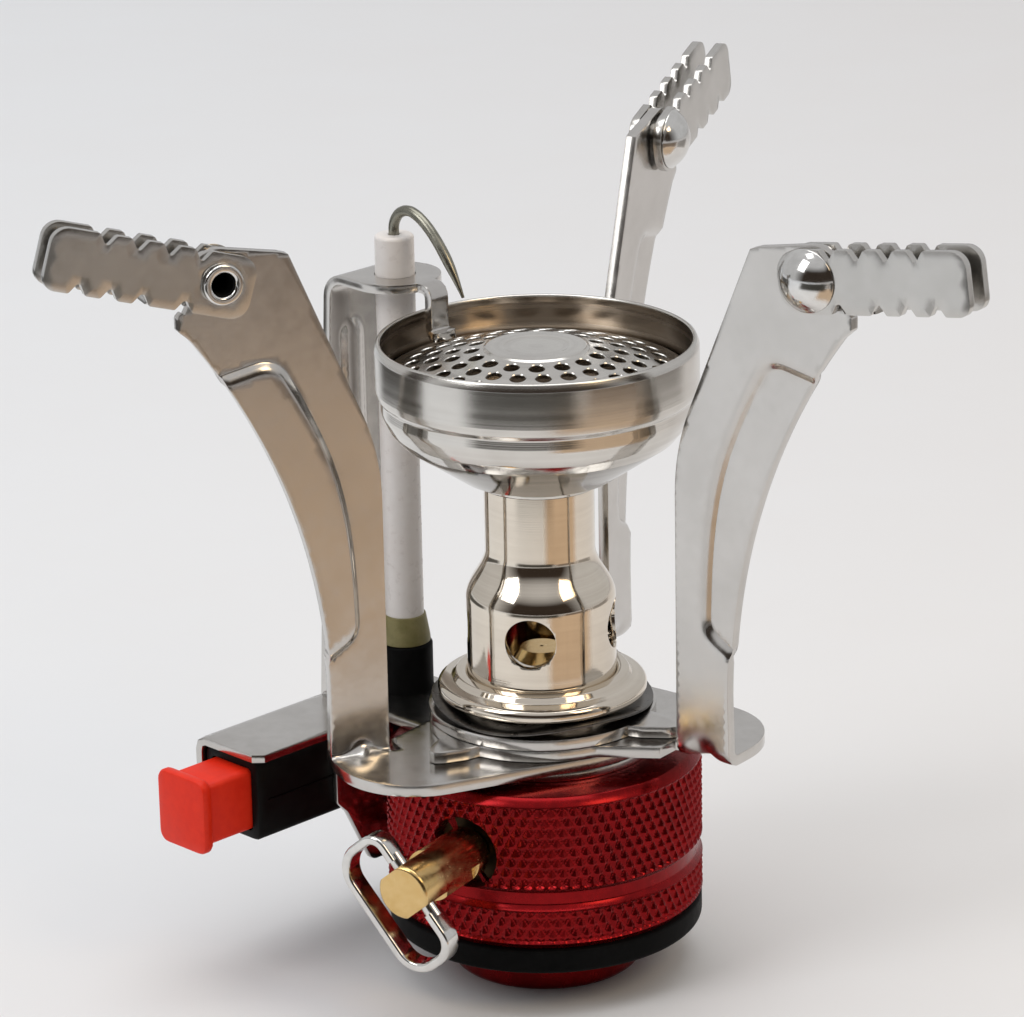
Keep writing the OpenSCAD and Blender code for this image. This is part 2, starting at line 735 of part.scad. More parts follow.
// Domed burner plate with rings of flame holes.
module burner_plate() {
    skirt_z = band_bottom + bowl_t + press_fit;
    boss_h = 0.3;
    lip = 0.6;
    dome_z = plate_centre_z - boss_h;
    shoulder_r = plate_centre_r + boss_h;
    color("silver") difference() {
        rotate_extrude() polygon([
            [plate_r - plate_t, skirt_z], [plate_r, skirt_z], [plate_r, plate_edge_z - lip],
            [plate_r - lip, plate_edge_z], [shoulder_r, dome_z], [plate_centre_r, plate_centre_z],
            [0, plate_centre_z], [0, plate_centre_z - plate_t],
            [plate_centre_r - plate_t / 2, plate_centre_z - plate_t],
            [shoulder_r - plate_t / 2, dome_z - plate_t],
            [plate_r - lip - plate_t / 2, plate_edge_z - plate_t], [plate_r - plate_t, plate_edge_z - lip]
        ]);
        for (ring = [0 : flame_rings - 1]) {
            holes = flame_ring_count + ring * flame_ring_more;
            for (i = [0 : holes - 1])
                rotate([0, 0, i * 360 / holes])
                    translate([flame_ring_r + ring * flame_ring_step, 0, skirt_z])
                        cylinder(h = plate_centre_z - skirt_z, r = flame_hole_r, $fn = 24);
        }
    }
}

// Spring washer that keeps the leg rings pressed together.
module wave_washer() {
    steps = 24 * waves;
    wave_bore_r = spigot_r + 2 * turn_fit;
    function wave_z(i) = wave_bottom + wave_rise * (1 - cos(360 * waves * i / steps)) / 2;
    function section(i) = let (a = 360 * i / steps, z = wave_z(i)) [
        [wave_bore_r * cos(a), wave_bore_r * sin(a), z],
        [wave_r * cos(a), wave_r * sin(a), z],
        [wave_r * cos(a), wave_r * sin(a), z + wave_t],
        [wave_bore_r * cos(a), wave_bore_r * sin(a), z + wave_t]];
    points = [for (i = [0 : steps - 1]) each section(i)];
    faces = [for (i = [0 : steps - 1]) for (k = [0 : 3])
        let (j = (i + 1) % steps, m = (k + 1) % 4)
        each [[4 * i + k, 4 * j + m, 4 * i + m], [4 * i + k, 4 * j + k, 4 * j + m]]];
    color("dimgray") polyhedron(points, faces);
}

// Side view of a leg's blade: X from the stove axis, Y up from the foot plate.
module blade_outline() {
    edge = 0.7;
    head_start = -30;
    head_turn = 135;
    curve_a = asin((hook_z - hook_depth - blade_curve_z) / blade_curve_r);
    bend_c = [blade_in + blade_bend_r, blade_bend_z - blade_bend_r * tan(blade_lean / 2)];
    top_in = blade_in + (blade_top - blade_bend_z) * tan(blade_lean);
    polygon(concat(
        [[blade_in, 0], [blade_out, 0]],
        arc(curve_c, blade_curve_r, 180, 180 - curve_a),
        [[hook_x, hook_z - 2 * edge], [hook_x, hook_z], [hook_x - edge, hook_z + edge]],
        arc([pivot_x, pivot_z], head_r, head_start, head_start + head_turn),
        [[top_in + edge, blade_top], [top_in, blade_top - edge]],
        arc(bend_c, blade_bend_r, 180 - blade_lean, 180)
    ));
}

// Region of the blade that is pressed out along its outer edge.
module panel_outline() {
    inner_r = blade_curve_r + panel_w;
    outer_r = blade_curve_r - panel_w;
    slant = panel_w / 2;
    function turn(r, z) = 180 - asin((z - blade_curve_z) / r);
    polygon(concat(
        arc(curve_c, inner_r, turn(inner_r, panel_bottom + slant), turn(inner_r, panel_top - slant)),
        arc(curve_c, outer_r, turn(outer_r, panel_top + slant), turn(outer_r, panel_bottom - slant))
    ));
}

// Foot plate of a leg: the ring on the spigot, the plate to the blade's
// bend, and the detent lug.
module foot_outline() {
    relief = 0.75 * leg_t;
    neck_end = blade_in - leg_t;
    neck_y = 2;
    difference() {
        union() {
            circle(leg_ring_r);
            polygon([
                [0, leg_ring_r], [foot_end - foot_corner_r, leg_ring_r],
                [foot_end, leg_ring_r - foot_corner_r], [foot_end, -leg_t / 2],
                [blade_in, -leg_t / 2], [blade_in, relief],
                [neck_end, relief], [neck_end, -neck_y], [0, -leg_ring_r]
            ]);
            translate([foot_end - foot_corner_r, leg_ring_r - foot_corner_r]) circle(foot_corner_r);
            rotate(lug_az) translate([0, -lug_w / 2]) square([lug_r, lug_w]);
        }
        circle(spigot_r + turn_fit);
    }
}

// One leg in its own frame: blade in the XZ plane, foot plate to its +Y side.
module leg_shape() {
    half = leg_t / 2;
    core = half - panel_press;
    bend_r = leg_t;
    difference() {
        union() {
            linear_extrude(leg_t) foot_outline();
            upright_sheet(-core, half) blade_outline();
            upright_sheet(-half, eps - core) difference() {
                blade_outline();
                panel_outline();
            }
            upright_sheet(half - eps, half + panel_press) intersection() {
                blade_outline();
                panel_outline();
            }
        }
        translate([pivot_x, 0, pivot_z]) rotate([90, 0, 0])
            cylinder(h = 4 * leg_t, r = rivet_r + press_fit, center = true);
        difference() {
            translate([blade_in - eps, -half - eps, -eps])
                cube([foot_end - blade_in + 2 * eps, bend_r + eps, bend_r + eps]);
            translate([0, bend_r - half, bend_r]) rod_x(0, foot_end + leg_t, bend_r, bend_r);
        }
    }
}

// Side view of an arm's wall: X along the arm from the pivot, Y across it.
module arm_outline() {
    flat = notch_w / 4;
    difference() {
        rounded_bar(-arm_back, arm_length, -arm_under, arm_over, arm_heel_r, arm_tip_r);
        for (i = [0 : upper_notches - 1])
            translate([upper_notch + i * notch_step, arm_over])
                polygon([
                    [-notch_w / 2, eps], [-flat / 2, -notch_d],
                    [flat / 2, -notch_d], [notch_w / 2, eps]
                ]);
        for (x = concat([web_start - notch_w / 2 + 2 * eps],
                [for (i = [0 : lower_notches - 1]) lower_notch + i * notch_step]))
            translate([x, -arm_under])
                polygon([
                    [-notch_w / 2, -eps], [-flat / 2, notch_d],
                    [flat / 2, notch_d], [notch_w / 2, -eps]
                ]);
        circle(rivet_r + turn_fit);
    }
}

// One arm in its leg's frame: two notched walls astride the blade, joined by
// a short web that meets the leg's hook.
module arm_shape(tilt) {
    inner = arm_half - arm_t;
    translate([pivot_x, 0, pivot_z]) rotate([0, -tilt, 0]) {
        upright_sheet(-arm_half, -inner) arm_outline();
        upright_sheet(inner, arm_half) arm_outline();
        translate([web_start, -inner - eps, -arm_under])
            cube([web_end - web_start, 2 * inner + 2 * eps, arm_t]);
    }
}

// One rivet in its leg's frame: domed head on the -Y side, rolled hollow end
// on the +Y side.
module rivet_shape() {
    dome_r = (rivet_head_r * rivet_head_r + rivet_head_h * rivet_head_h) / (2 * rivet_head_h);
    roll_top = rivet_face + rivet_roll_h;
    translate([pivot_x, 0, pivot_z]) rotate([-90, 0, 0]) difference() {
        union() {
            translate([0, 0, -rivet_face - eps]) cylinder(h = rivet_face + roll_top, r = rivet_r);
            translate([0, 0, rivet_face]) cylinder(h = rivet_roll_h, r = rivet_roll_r);
            intersection() {
                translate([0, 0, -rivet_face - rivet_head_h + dome_r]) sphere(dome_r);
                translate([0, 0, -rivet_face - rivet_head_h]) cylinder(h = rivet_head_h, r = rivet_head_r);
            }
        }
        translate([0, 0, roll_top - rivet_bore_d]) cylinder(h = rivet_bore_d + eps, r = rivet_bore_r);
    }
}

// Places a leg's pieces at its direction and its level in the stack.
module at_leg(az, z) {
    rotate([0, 0, az]) translate([0, 0, z]) children();
}

module leg_left() color("silver") at_leg(left_az, left_z) leg_shape();
module leg_right() color("silver") at_leg(right_az, right_z) leg_shape();
module leg_back() color("silver") at_leg(back_az, back_z) leg_shape();
module arm_left() color("gainsboro") at_leg(left_az, left_z) arm_shape(left_tilt);
module arm_right() color("gainsboro") at_leg(right_az, right_z) arm_shape(right_tilt);
module arm_back() color("gainsboro") at_leg(back_az, back_z) arm_shape(back_tilt);
module rivet_left() color("gray") at_leg(left_az, left_z) rivet_shape();
module rivet_right() color("gray") at_leg(right_az, right_z) rivet_shape();
module rivet_back() color("gray") at_leg(back_az, back_z) rivet_shape();

// Igniter pieces are drawn with X along the case and Y away from the stove axis.
module on_igniter() {
    rotate([0, 0, igniter_az]) children();
}

// Places what is drawn along X on the axis of the igniter case.
module on_case_axis() {
    on_igniter() translate([0, case_n, case_z]) children();
}

// Places what is drawn along Z on the axis of the insulator.
module on_insulator() {
    on_igniter() translate([insulator_e, insulator_n, 0]) children();
}

// Sheet bracket: ring under the legs, shelf and walls around the igniter
// case, and an upright whose top plate holds the insulator over the rim.
module igniter_bracket() {
    wall_in = upright_face - bracket_t;
    skirt_t = 0.8;
    skirt_toe = 4;
    skirt_edge = 1.5;
    skirt_face = case_near - eps;
    shelf_near = skirt_face - skirt_t;
    rib_z = (shelf_top + top_plate_under) / 2;
    rib_x = (upright_start + shelf_end) / 2;
    color("silver") on_igniter() {
        translate([0, 0, shelf_bottom]) linear_extrude(bracket_t) difference() {
            union() {
                circle(leg_ring_r);
                translate([upright_start, 0]) square([shelf_end - upright_start, case_near]);
                translate([shelf_start, shelf_near])
                    square([shelf_end - shelf_start, upright_face - shelf_near]);
            }
            circle(spigot_r + turn_fit);
            translate([insulator_e, insulator_n]) circle(boot_r + turn_fit);
        }
        translate([shelf_start, wall_in, case_bottom])
            cube([shelf_end - shelf_start, bracket_t, shelf_top - case_bottom]);
        upright_sheet(wall_in, upright_face) polygon([
            [upright_start, shelf_bottom], [shelf_end, shelf_bottom],
            [shelf_end, top_plate_z], [upright_top_start, top_plate_z]
        ]);
        translate([rib_x - rib_w / 2, wall_in - rib_h, rib_z - rib_length / 2])
            cube([rib_w, rib_h + eps, rib_length]);
        translate([0, 0, top_plate_under]) linear_extrude(bracket_t) difference() {
            union() {
                polygon([
                    [upright_top_start, upright_face], [shelf_end, upright_face],
                    [insulator_e + top_plate_r, insulator_n], [insulator_e - top_plate_r, insulator_n],
                    [upright_top_start, wall_in]
                ]);
                translate([insulator_e, insulator_n]) circle(top_plate_r);
                translate([insulator_e - tab_half_w, tab_in])
                    square([2 * tab_half_w, insulator_n - tab_in]);
            }
            translate([insulator_e, insulator_n]) circle(insulator_r + turn_fit);
        }
        translate([insulator_e - tab_half_w, tab_in, tab_bottom])
            cube([2 * tab_half_w, bracket_t, top_plate_z - tab_bottom]);
        upright_sheet(shelf_near, skirt_face) polygon([
            [skirt_start, shelf_top], [skirt_end, shelf_top], [skirt_end, skirt_bottom],
            [skirt_end - skirt_toe, skirt_bottom], [skirt_start + skirt_edge, case_bottom],
            [skirt_start, case_bottom + skirt_edge]
        ]);
    }
}

// Black plastic case of the piezo igniter, open at the button's end.
module igniter_case() {
    color("black") on_case_axis() difference() {
        translate([case_start, -case_w / 2, -case_h / 2])
            cube([case_end - case_start, case_w, case_h]);
        translate([case_start - eps, -cavity_w / 2, -cavity_h / 2])
            cube([cavity_end - case_start + eps, cavity_w, cavity_h]);
    }
}

// Red push button: face plate and hollow stem.
module igniter_button() {
    color("orangered") on_case_axis() difference() {
        union() {
            translate([button_start, -stem_w / 2 - button_lip, -stem_h / 2 - button_lip])
                cube([button_plate_t, stem_w + 2 * button_lip, stem_h + 2 * button_lip]);
            translate([button_start, -stem_w / 2, -stem_h / 2])
                cube([stem_end - button_start, stem_w, stem_h]);
        }
        rod_x(bore_floor, stem_end + eps, button_bore_r, button_bore_r);
    }
}

// Return spring between the button and the hammer, as one helical tube.
module button_spring() {
    sides = 8;
    steps = spring_turns * 16;
    start = bore_floor + spring_wire_r + press_fit;
    pitch = (hammer_start - spring_wire_r - press_fit - start) / spring_turns;
    points = [for (i = [0 : steps]) for (k = [0 : sides - 1])
        let (a = 360 * spring_turns * i / steps, w = 360 * k / sides,
            r = spring_r + spring_wire_r * cos(w))
        [start + pitch * a / 360 + spring_wire_r * sin(w), r * cos(a), r * sin(a)]];
    walls = [for (i = [0 : steps - 1]) for (k = [0 : sides - 1])
        let (m = (k + 1) % sides, a = sides * i, b = sides * (i + 1))
        each [[a + k, b + m, a + m], [a + k, b + k, b + m]]];
    caps = [[for (k = [0 : sides - 1]) k], [for (k = [sides - 1 : -1 : 0]) sides * steps + k]];
    color("gray") on_case_axis() polyhedron(points, concat(walls, caps));
}

// Hammer that strikes the piezo element.
module igniter_hammer() {
    color("slategray") on_case_axis()
        rod_x(hammer_start, hammer_start + hammer_length, piezo_r, piezo_r);
}

// Piezo element at the inner end of the case.
module piezo_element() {
    color("tan") on_case_axis() rod_x(piezo_start, piezo_start + piezo_length, piezo_r, piezo_r);
}

// Black rubber boot from the case to the insulator.
module insulator_boot() {
    color("black") on_insulator() difference() {
        translate([0, 0, body_top + press_fit]) cylinder(h = boot_top - body_top - press_fit, r = boot_r);
        translate([0, 0, insulator_bottom - press_fit])
            cylinder(h = boot_top - insulator_bottom + 2 * eps, r = insulator_r + press_fit);
    }
}

// Olive sleeve between the boot and the insulator.
module insulator_sleeve() {
    lip = 0.25;
    color("olive") on_insulator() difference() {
        translate([0, 0, boot_top + press_fit])
            cylinder(h = sleeve_top - boot_top, r1 = sleeve_r, r2 = insulator_r + lip);
        cylinder(h = sleeve_top + 2 * eps, r = insulator_r + press_fit);
    }
}

// White ceramic tube around the electrode.
module ceramic_insulator() {
    edge = 0.3;
    color("white") on_insulator() difference() {
        rotate_extrude() polygon([
            [0, insulator_bottom], [insulator_r, insulator_bottom], [insulator_r, insulator_top - edge],
            [insulator_r - edge, insulator_top], [0, insulator_top]
        ]);
        translate([0, 0, insulator_top - electrode_hold])
            cylinder(h = electrode_hold + eps, r = electrode_r + press_fit);
    }
}

// Electrode wire: up out of the insulator, over in a hook, down to the burner.
module electrode_wire() {
    wire_bottom = insulator_top - electrode_hold + press_fit;
    hook_bottom = insulator_top + electrode_rise;
    color("gray") on_insulator() {
        translate([0, 0, wire_bottom]) cylinder(h = hook_bottom - wire_bottom, r = electrode_r);
        translate([0, -electrode_bend_r, hook_bottom]) rotate([90, 0, 90]) {
            rotate_extrude(angle = electrode_turn) translate([electrode_bend_r, 0]) circle(electrode_r);
            rotate([0, 0, electrode_turn]) translate([electrode_bend_r, -eps, 0]) rotate([-90, 0, 0])
                cylinder(h = electrode_tip + eps, r = electrode_tip_r);
        }
    }
}

valve_body();
base_ring();
canister_seal();
valve_pin();
gas_jet();
gland_nut();
spindle_seal();
valve_spindle();
handle_loop();
burner_column();
burner_bowl();
burner_plate();
wave_washer();
leg_left();
leg_right();
leg_back();
arm_left();
arm_right();
arm_back();
rivet_left();
rivet_right();
rivet_back();
igniter_bracket();
igniter_case();
igniter_button();
button_spring();
igniter_hammer();
piezo_element();
insulator_boot();
insulator_sleeve();
ceramic_insulator();
electrode_wire();
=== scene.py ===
"""Looks of the backpacking stove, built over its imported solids.

Lengths are in millimetres until a mesh is made, and angles in degrees.
"""

import bisect
from math import acos, asin, atan, atan2, ceil, cos, degrees, exp, hypot, inf, pi, radians, sin, sqrt, tan

import bmesh
import bpy
from mathutils import Matrix, Vector
from mathutils.geometry import delaunay_2d_cdt, interpolate_bezier
from mathutils.kdtree import KDTree


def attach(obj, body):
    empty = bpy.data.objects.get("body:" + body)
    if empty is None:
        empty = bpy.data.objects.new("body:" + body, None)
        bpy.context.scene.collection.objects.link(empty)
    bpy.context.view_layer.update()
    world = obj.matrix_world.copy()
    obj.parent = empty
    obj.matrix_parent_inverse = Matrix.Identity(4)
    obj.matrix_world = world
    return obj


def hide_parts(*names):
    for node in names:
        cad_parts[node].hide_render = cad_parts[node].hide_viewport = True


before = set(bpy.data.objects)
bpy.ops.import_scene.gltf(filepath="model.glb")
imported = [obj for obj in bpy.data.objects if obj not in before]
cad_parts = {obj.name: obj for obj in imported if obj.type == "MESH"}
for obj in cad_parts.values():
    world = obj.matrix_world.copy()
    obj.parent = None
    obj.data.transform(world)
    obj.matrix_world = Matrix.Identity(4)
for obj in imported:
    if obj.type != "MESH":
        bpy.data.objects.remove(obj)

MM = 0.001
UP = Vector((0, 0, 1))
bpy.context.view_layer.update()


# Shapes

# Angles from which an edge is sharp or gets a bevel
SHARP, BEVEL_FROM, SHEET_BEVEL_FROM = 35.0, 40.0, 50.0
# Angle that needs no rounding, and the share of a side that a rounding may take
NEARLY_STRAIGHT, SIDE_SHARE, BEND_STEPS = 174.0, 0.48, 10
SAME_PLACE, ON_AXIS, NO_LENGTH = 1e-7, 1e-6, 1e-9
# Room round a net's points: guides to edges in mm, the others to edges and guides in steps
GUIDE_GAP, EDGE_STEPS, GUIDE_STEPS = 0.15, 0.45, 0.7


def spin(angle, axis="Z"):
    return Matrix.Rotation(radians(angle), 4, axis)


def shift(x, y, z):
    return Matrix.Translation((x, y, z))


def smooth_step(value):
    value = min(1.0, max(0.0, value))
    return value * value * (3 - 2 * value)


def polar(radius, angle):
    return radius * cos(radians(angle)), radius * sin(radians(angle))


def rows(low, high, step):
    """Even values from low to high, a step apart or less."""
    count = ceil((high - low) / step)
    return [low + (high - low) * i / count for i in range(count + 1)]


def arc(centre, radius, start, end, step=6.0):
    count = max(2, ceil(abs(end - start) / step))
    angles = [start + (end - start) * i / count for i in range(count + 1)]
    return [(centre[0] + polar(radius, a)[0], centre[1] + polar(radius, a)[1]) for a in angles]


def circle(centre, radius, step=15.0):
    return arc(centre, radius, 0, 360 - step, step)


def corner_arc(p, to_last, to_next, radius, most=inf, step=None):
    """Arc that rounds the corner p, and takes up at most so much of its sides."""
    half = to_last.angle(to_next) / 2
    reach = min(radius / tan(half), most)
    u, v = to_last.normalized(), to_next.normalized()
    centre = p + (u + v).normalized() * (reach * tan(half)) / sin(half)
    spoke = p + u * reach - centre
    turn = spoke.angle_signed(p + v * reach - centre)
    count = max(2, ceil(degrees(abs(turn)) / step)) if step else BEND_STEPS
    return [centre + Matrix.Rotation(-turn * k / count, 2) @ spoke for k in range(count + 1)]


def fillet(corners, step=15.0):
    """Closed outline from corners (x, y) or (x, y, radius), with the radii rounded."""
    points = []
    for i, corner in enumerate(corners):
        p = Vector(corner[:2])
        radius = corner[2] if len(corner) > 2 else 0.0
        to_last = Vector(corners[i - 1][:2]) - p
        to_next = Vector(corners[(i + 1) % len(corners)][:2]) - p
        if radius <= 0 or to_last.angle(to_next) > radians(NEARLY_STRAIGHT):
            points.append(tuple(p))
        else:
            most = min(SIDE_SHARE * to_last.length, SIDE_SHARE * to_next.length)
            points += map(tuple, corner_arc(p, to_last, to_next, radius, most, step))
    return points


def rounded_box(half_x, half_y, radius, step=15.0):
    signs = ((-1, -1), (1, -1), (1, 1), (-1, 1))
    return fillet([(x * half_x, y * half_y, radius) for x, y in signs], step)


def mesh_of(name, mesh_data):
    """Mesh from (vertices in mm, faces)."""
    vertices, faces = mesh_data
    mesh = bpy.data.meshes.new(name)
    mesh.from_pydata([Vector(v) * MM for v in vertices], [], faces)
    return mesh


def linked(name, data):
    obj = bpy.data.objects.new(name, data)
    bpy.context.scene.collection.objects.link(obj)
    return obj


def new_object(name, mesh_data):
    """Object of a mesh with its points joined and its faces turned one way."""
    mesh = mesh_of(name, mesh_data)
    edit = bmesh.new()
    edit.from_mesh(mesh)
    bmesh.ops.remove_doubles(edit, verts=edit.verts, dist=SAME_PLACE)
    bmesh.ops.recalc_face_normals(edit, faces=edit.faces)
    edit.to_mesh(mesh)
    edit.free()
    return linked(name, mesh)


def shade(mesh):
    """Smooth faces between sharp edges."""
    mesh.polygons.foreach_set("use_smooth", [True] * len(mesh.polygons))
    mesh.set_sharp_from_angle(angle=radians(SHARP))


def piece(name, mesh_data, material, node=None, body="stove_body"):
    """Makes a visible piece with one material, on its body, and hides the part that it stands for."""
    obj = new_object(name, mesh_data)
    obj.data.materials.append(material)
    shade(obj.data)
    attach(obj, body)
    if node:
        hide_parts(node)
    return obj


def coat(obj, material, covers):
    """Gives the faces that covers(centre in mm, normal) picks another material."""
    obj.data.materials.append(material)
    for face in obj.data.polygons:
        if covers(face.center / MM, face.normal):
            face.material_index = len(obj.data.materials) - 1


def bake(obj):
    """Replaces the mesh by what its modifiers make of it."""
    graph = bpy.context.evaluated_depsgraph_get()
    mesh = bpy.data.meshes.new_from_object(obj.evaluated_get(graph))
    obj.modifiers.clear()
    old, obj.data = obj.data, mesh
    bpy.data.meshes.remove(old)
    shade(mesh)


def bevel(obj, width, angle=BEVEL_FROM):
    modifier = obj.modifiers.new("edges", "BEVEL")
    modifier.width = width * MM
    modifier.segments = 2
    modifier.limit_method = "ANGLE"
    modifier.angle_limit = radians(angle)


def cut(obj, tools, edge=0.0):
    """Cuts closed meshes out of an object. edge rounds what they leave."""
    for tool in tools:
        cutter = new_object("cutter", tool)
        boolean = obj.modifiers.new("cut", "BOOLEAN")
        boolean.operation = "DIFFERENCE"
        boolean.solver = "EXACT"
        boolean.object = cutter
        bake(obj)
        bpy.data.meshes.remove(cutter.data)
    if edge:
        bevel(obj, edge)
        bake(obj)


def merged(meshes):
    vertices, faces = [], []
    for part_vertices, part_faces in meshes:
        start = len(vertices)
        vertices += [tuple(v) for v in part_vertices]
        faces += [[start + i for i in face] for face in part_faces]
    return vertices, faces


def moved(mesh_data, matrix):
    vertices, faces = mesh_data
    return [tuple(matrix @ Vector(v)) for v in vertices], faces


def lathe(profile, segments=160, swell=None):
    """Closed profile of (r, z) turned about Z. swell(angle in radians, r, z) may change the radius."""
    vertices, faces, count = [], [], len(profile)
    for i in range(segments):
        angle = 2 * pi * i / segments
        for r, z in profile:
            radius = r + swell(angle, r, z) if swell else r
            vertices.append((radius * cos(angle), radius * sin(angle), z))
    for i in range(segments):
        here, there = i * count, (i + 1) % segments * count
        for k in range(count):
            m = (k + 1) % count
            off_axis = [there + j for j in (k, m) if profile[j][0] >= ON_AXIS]
            if off_axis:
                faces.append([here + k, *off_axis, here + m])
    return vertices, faces


def rod(start, end, r0, r1=None, segments=48):
    """Closed cone or cylinder between two points."""
    start, end = Vector(start), Vector(end)
    r1 = r0 if r1 is None else r1
    turn = UP.rotation_difference(end - start).to_matrix().to_4x4()
    length = (end - start).length
    profile = [(0, 0), (r0, 0), (r1, length), (0, length)]
    return moved(lathe(profile, segments), Matrix.Translation(start) @ turn)


def block(low, high):
    corners = [(x, y, z) for x in (low[0], high[0]) for y in (low[1], high[1]) for z in (low[2], high[2])]
    return corners, [[0, 1, 3, 2], [4, 6, 7, 5], [0, 4, 5, 1], [2, 3, 7, 6], [0, 2, 6, 4], [1, 5, 7, 3]]


def skin(rings, closed=False):
    """Joins rings of points, each to the next. Without closed, both ends get a face."""
    count, sides = len(rings), len(rings[0])
    faces = []
    for i in range(count if closed else count - 1):
        here, there = i * sides, (i + 1) % count * sides
        for k in range(sides):
            m = (k + 1) % sides
            faces.append([here + k, here + m, there + m, there + k])
    if not closed:
        faces += [list(range(sides))[::-1], list(range((count - 1) * sides, count * sides))]
    return [p for ring in rings for p in ring], faces


def sweep(path, section, closed=False, normal=None, taper=None):
    """Carries a section (across, along normal) over a path. taper is its size at each point.

    Without a normal the section turns freely.
    """
    path = [Vector(p) for p in path]
    count, rings = len(path), []
    up = normal and Vector(normal)
    for i, p in enumerate(path):
        after = path[(i + 1) % count] if closed or i + 1 < count else p
        before = path[i - 1] if closed or i > 0 else p
        along = (after - before).normalized()
        if up is None:
            up = along.orthogonal().normalized()
        elif normal is None:
            up = (up - along * up.dot(along)).normalized()
        across = along.cross(up).normalized()
        size = taper[i] if taper else 1.0
        rings.append([tuple(p + (across * a + up * b) * size) for a, b in section])
    return skin(rings, closed)


def divided(loop, step):
    """Closed line with points added so that it bends with the sheet."""
    points = []
    for a, b in zip(map(Vector, loop), map(Vector, [*loop[1:], loop[0]])):
        count = max(1, ceil((b - a).length / step))
        points += [a + (b - a) * k / count for k in range(count)]
    return points


def inside(p, segments):
    crossed = [(a, b) for a, b in segments if (a.y > p.y) != (b.y > p.y)
               and p.x < a.x + (p.y - a.y) * (b.x - a.x) / (b.y - a.y)]
    return len(crossed) % 2 == 1


def distance(p, a, b):
    """Distance from a point to the line between two others."""
    along = b - a
    t = min(1.0, max(0.0, (p - a).dot(along) / max(along.length_squared, NO_LENGTH)))
    return (a + along * t - p).length


def sheet_mesh(outline, step, holes=(), guides=()):
    """Flat net of triangles inside an outline, fine enough to be bent. guides are points it must have."""
    points, edges = [], []
    for loop in (divided(line, step) for line in (outline, *holes)):
        start = len(points)
        points += loop
        edges += [(start + i, start + (i + 1) % len(loop)) for i in range(len(loop))]
    segments = [(points[a], points[b]) for a, b in edges]

    def free(p, gap):
        return inside(p, segments) and all(distance(p, a, b) > gap for a, b in segments
                                           if min(a.y, b.y) - gap <= p.y <= max(a.y, b.y) + gap)
    kept = [p for p in map(Vector, guides) if free(p, GUIDE_GAP)]
    tree = KDTree(len(kept))
    for i, p in enumerate(kept):
        tree.insert(p.to_3d(), i)
    tree.balance()
    low = [min(p[k] for p in outline) for k in (0, 1)]
    high = [max(p[k] for p in outline) for k in (0, 1)]
    for j in range(1, int((high[1] - low[1]) / step) + 1):
        for i in range(1, int((high[0] - low[0]) / step) + 1):
            p = Vector((low[0] + (i + 0.5 * (j % 2)) * step, low[1] + j * step))
            if free(p, EDGE_STEPS * step) and not tree.find_range(p.to_3d(), GUIDE_STEPS * step):
                points.append(p)
    flat, _, faces, *_ = delaunay_2d_cdt(points + kept, edges, [], 4, 1e-5)
    faces = [f for f in faces if inside(sum((flat[i] for i in f), Vector((0, 0))) / len(f), segments)]
    return [tuple(p) for p in flat], faces


def sheet_piece(outline, bend, thickness, edge, **net):
    """Bends a sheet by bend(x, y) -> (x, y, z), thickens it and rounds its edges. net is for sheet_mesh."""
    flat, faces = sheet_mesh(outline, **net)
    obj = new_object("sheet", ([bend(*p) for p in flat], faces))
    thicken = obj.modifiers.new("solid", "SOLIDIFY")
    thicken.thickness = thickness * MM
    thicken.offset = 0
    bevel(obj, edge, SHEET_BEVEL_FROM)
    bake(obj)
    vertices = [tuple(v.co / MM) for v in obj.data.vertices]
    polygons = [list(p.vertices) for p in obj.data.polygons]
    bpy.data.meshes.remove(obj.data)
    return vertices, polygons


# Materials

TONE_SPAN, POLISH_EDGE, GRAIN_DEPTH = (0.38, 0.62), 0.3, 0.00005


def add(tree, kind, settings=None, **inputs):
    """Adds a node. Inputs are values or other nodes' outputs; _0, _1 and so on go by place."""
    node = tree.nodes.new("ShaderNode" + kind)
    for key, value in (settings or {}).items():
        setattr(node, key, value)
    for key, value in inputs.items():
        socket = node.inputs[int(key[1:])] if key.startswith("_") else node.inputs[key.replace("__", " ")]
        if isinstance(value, bpy.types.NodeSocket):
            tree.links.new(value, socket)
        else:
            socket.default_value = value
    return node


def reckon(tree, operation, *values):
    """Result of a math node."""
    inputs = {f"_{i}": value for i, value in enumerate(values)}
    return add(tree, "Math", {"operation": operation}, **inputs).outputs[0]


def place(tree, kind="Object"):
    return add(tree, "TexCoord").outputs[kind]


def axes(tree, vector):
    return add(tree, "SeparateXYZ", Vector=vector).outputs


def length(tree, vector):
    return add(tree, "VectorMath", {"operation": "LENGTH"}, _0=vector).outputs["Value"]


def noise(tree, scale, detail=4.0, rings=False):
    """Noise all over, or in rings about Z. scale is in cells to the metre."""
    at = place(tree)
    if rings:
        x, y, z = axes(tree, at)
        flat = add(tree, "CombineXYZ", X=x, Y=y).outputs[0]
        at = add(tree, "CombineXYZ", X=length(tree, flat), Y=z).outputs[0]
    at = add(tree, "Mapping", Vector=at, Scale=(scale, scale, scale)).outputs[0]
    return add(tree, "TexNoise", Vector=at, Scale=1.0, Detail=detail, Roughness=0.6).outputs[0]


def ranged(tree, value, low, high, start=0.3, end=0.7):
    """Maps a texture's usual span to a range."""
    return add(tree, "MapRange", Value=value, _1=start, _2=end, _3=low, _4=high).outputs[0]


def tinted(tree, value, first, second, start, end):
    """Colour between two, by a texture."""
    ramp = add(tree, "ValToRGB", Fac=value)
    for stop, position, colour in zip(ramp.color_ramp.elements, (start, end), (first, second)):
        stop.position, stop.color = position, (*colour, 1)
    return ramp.outputs[0]


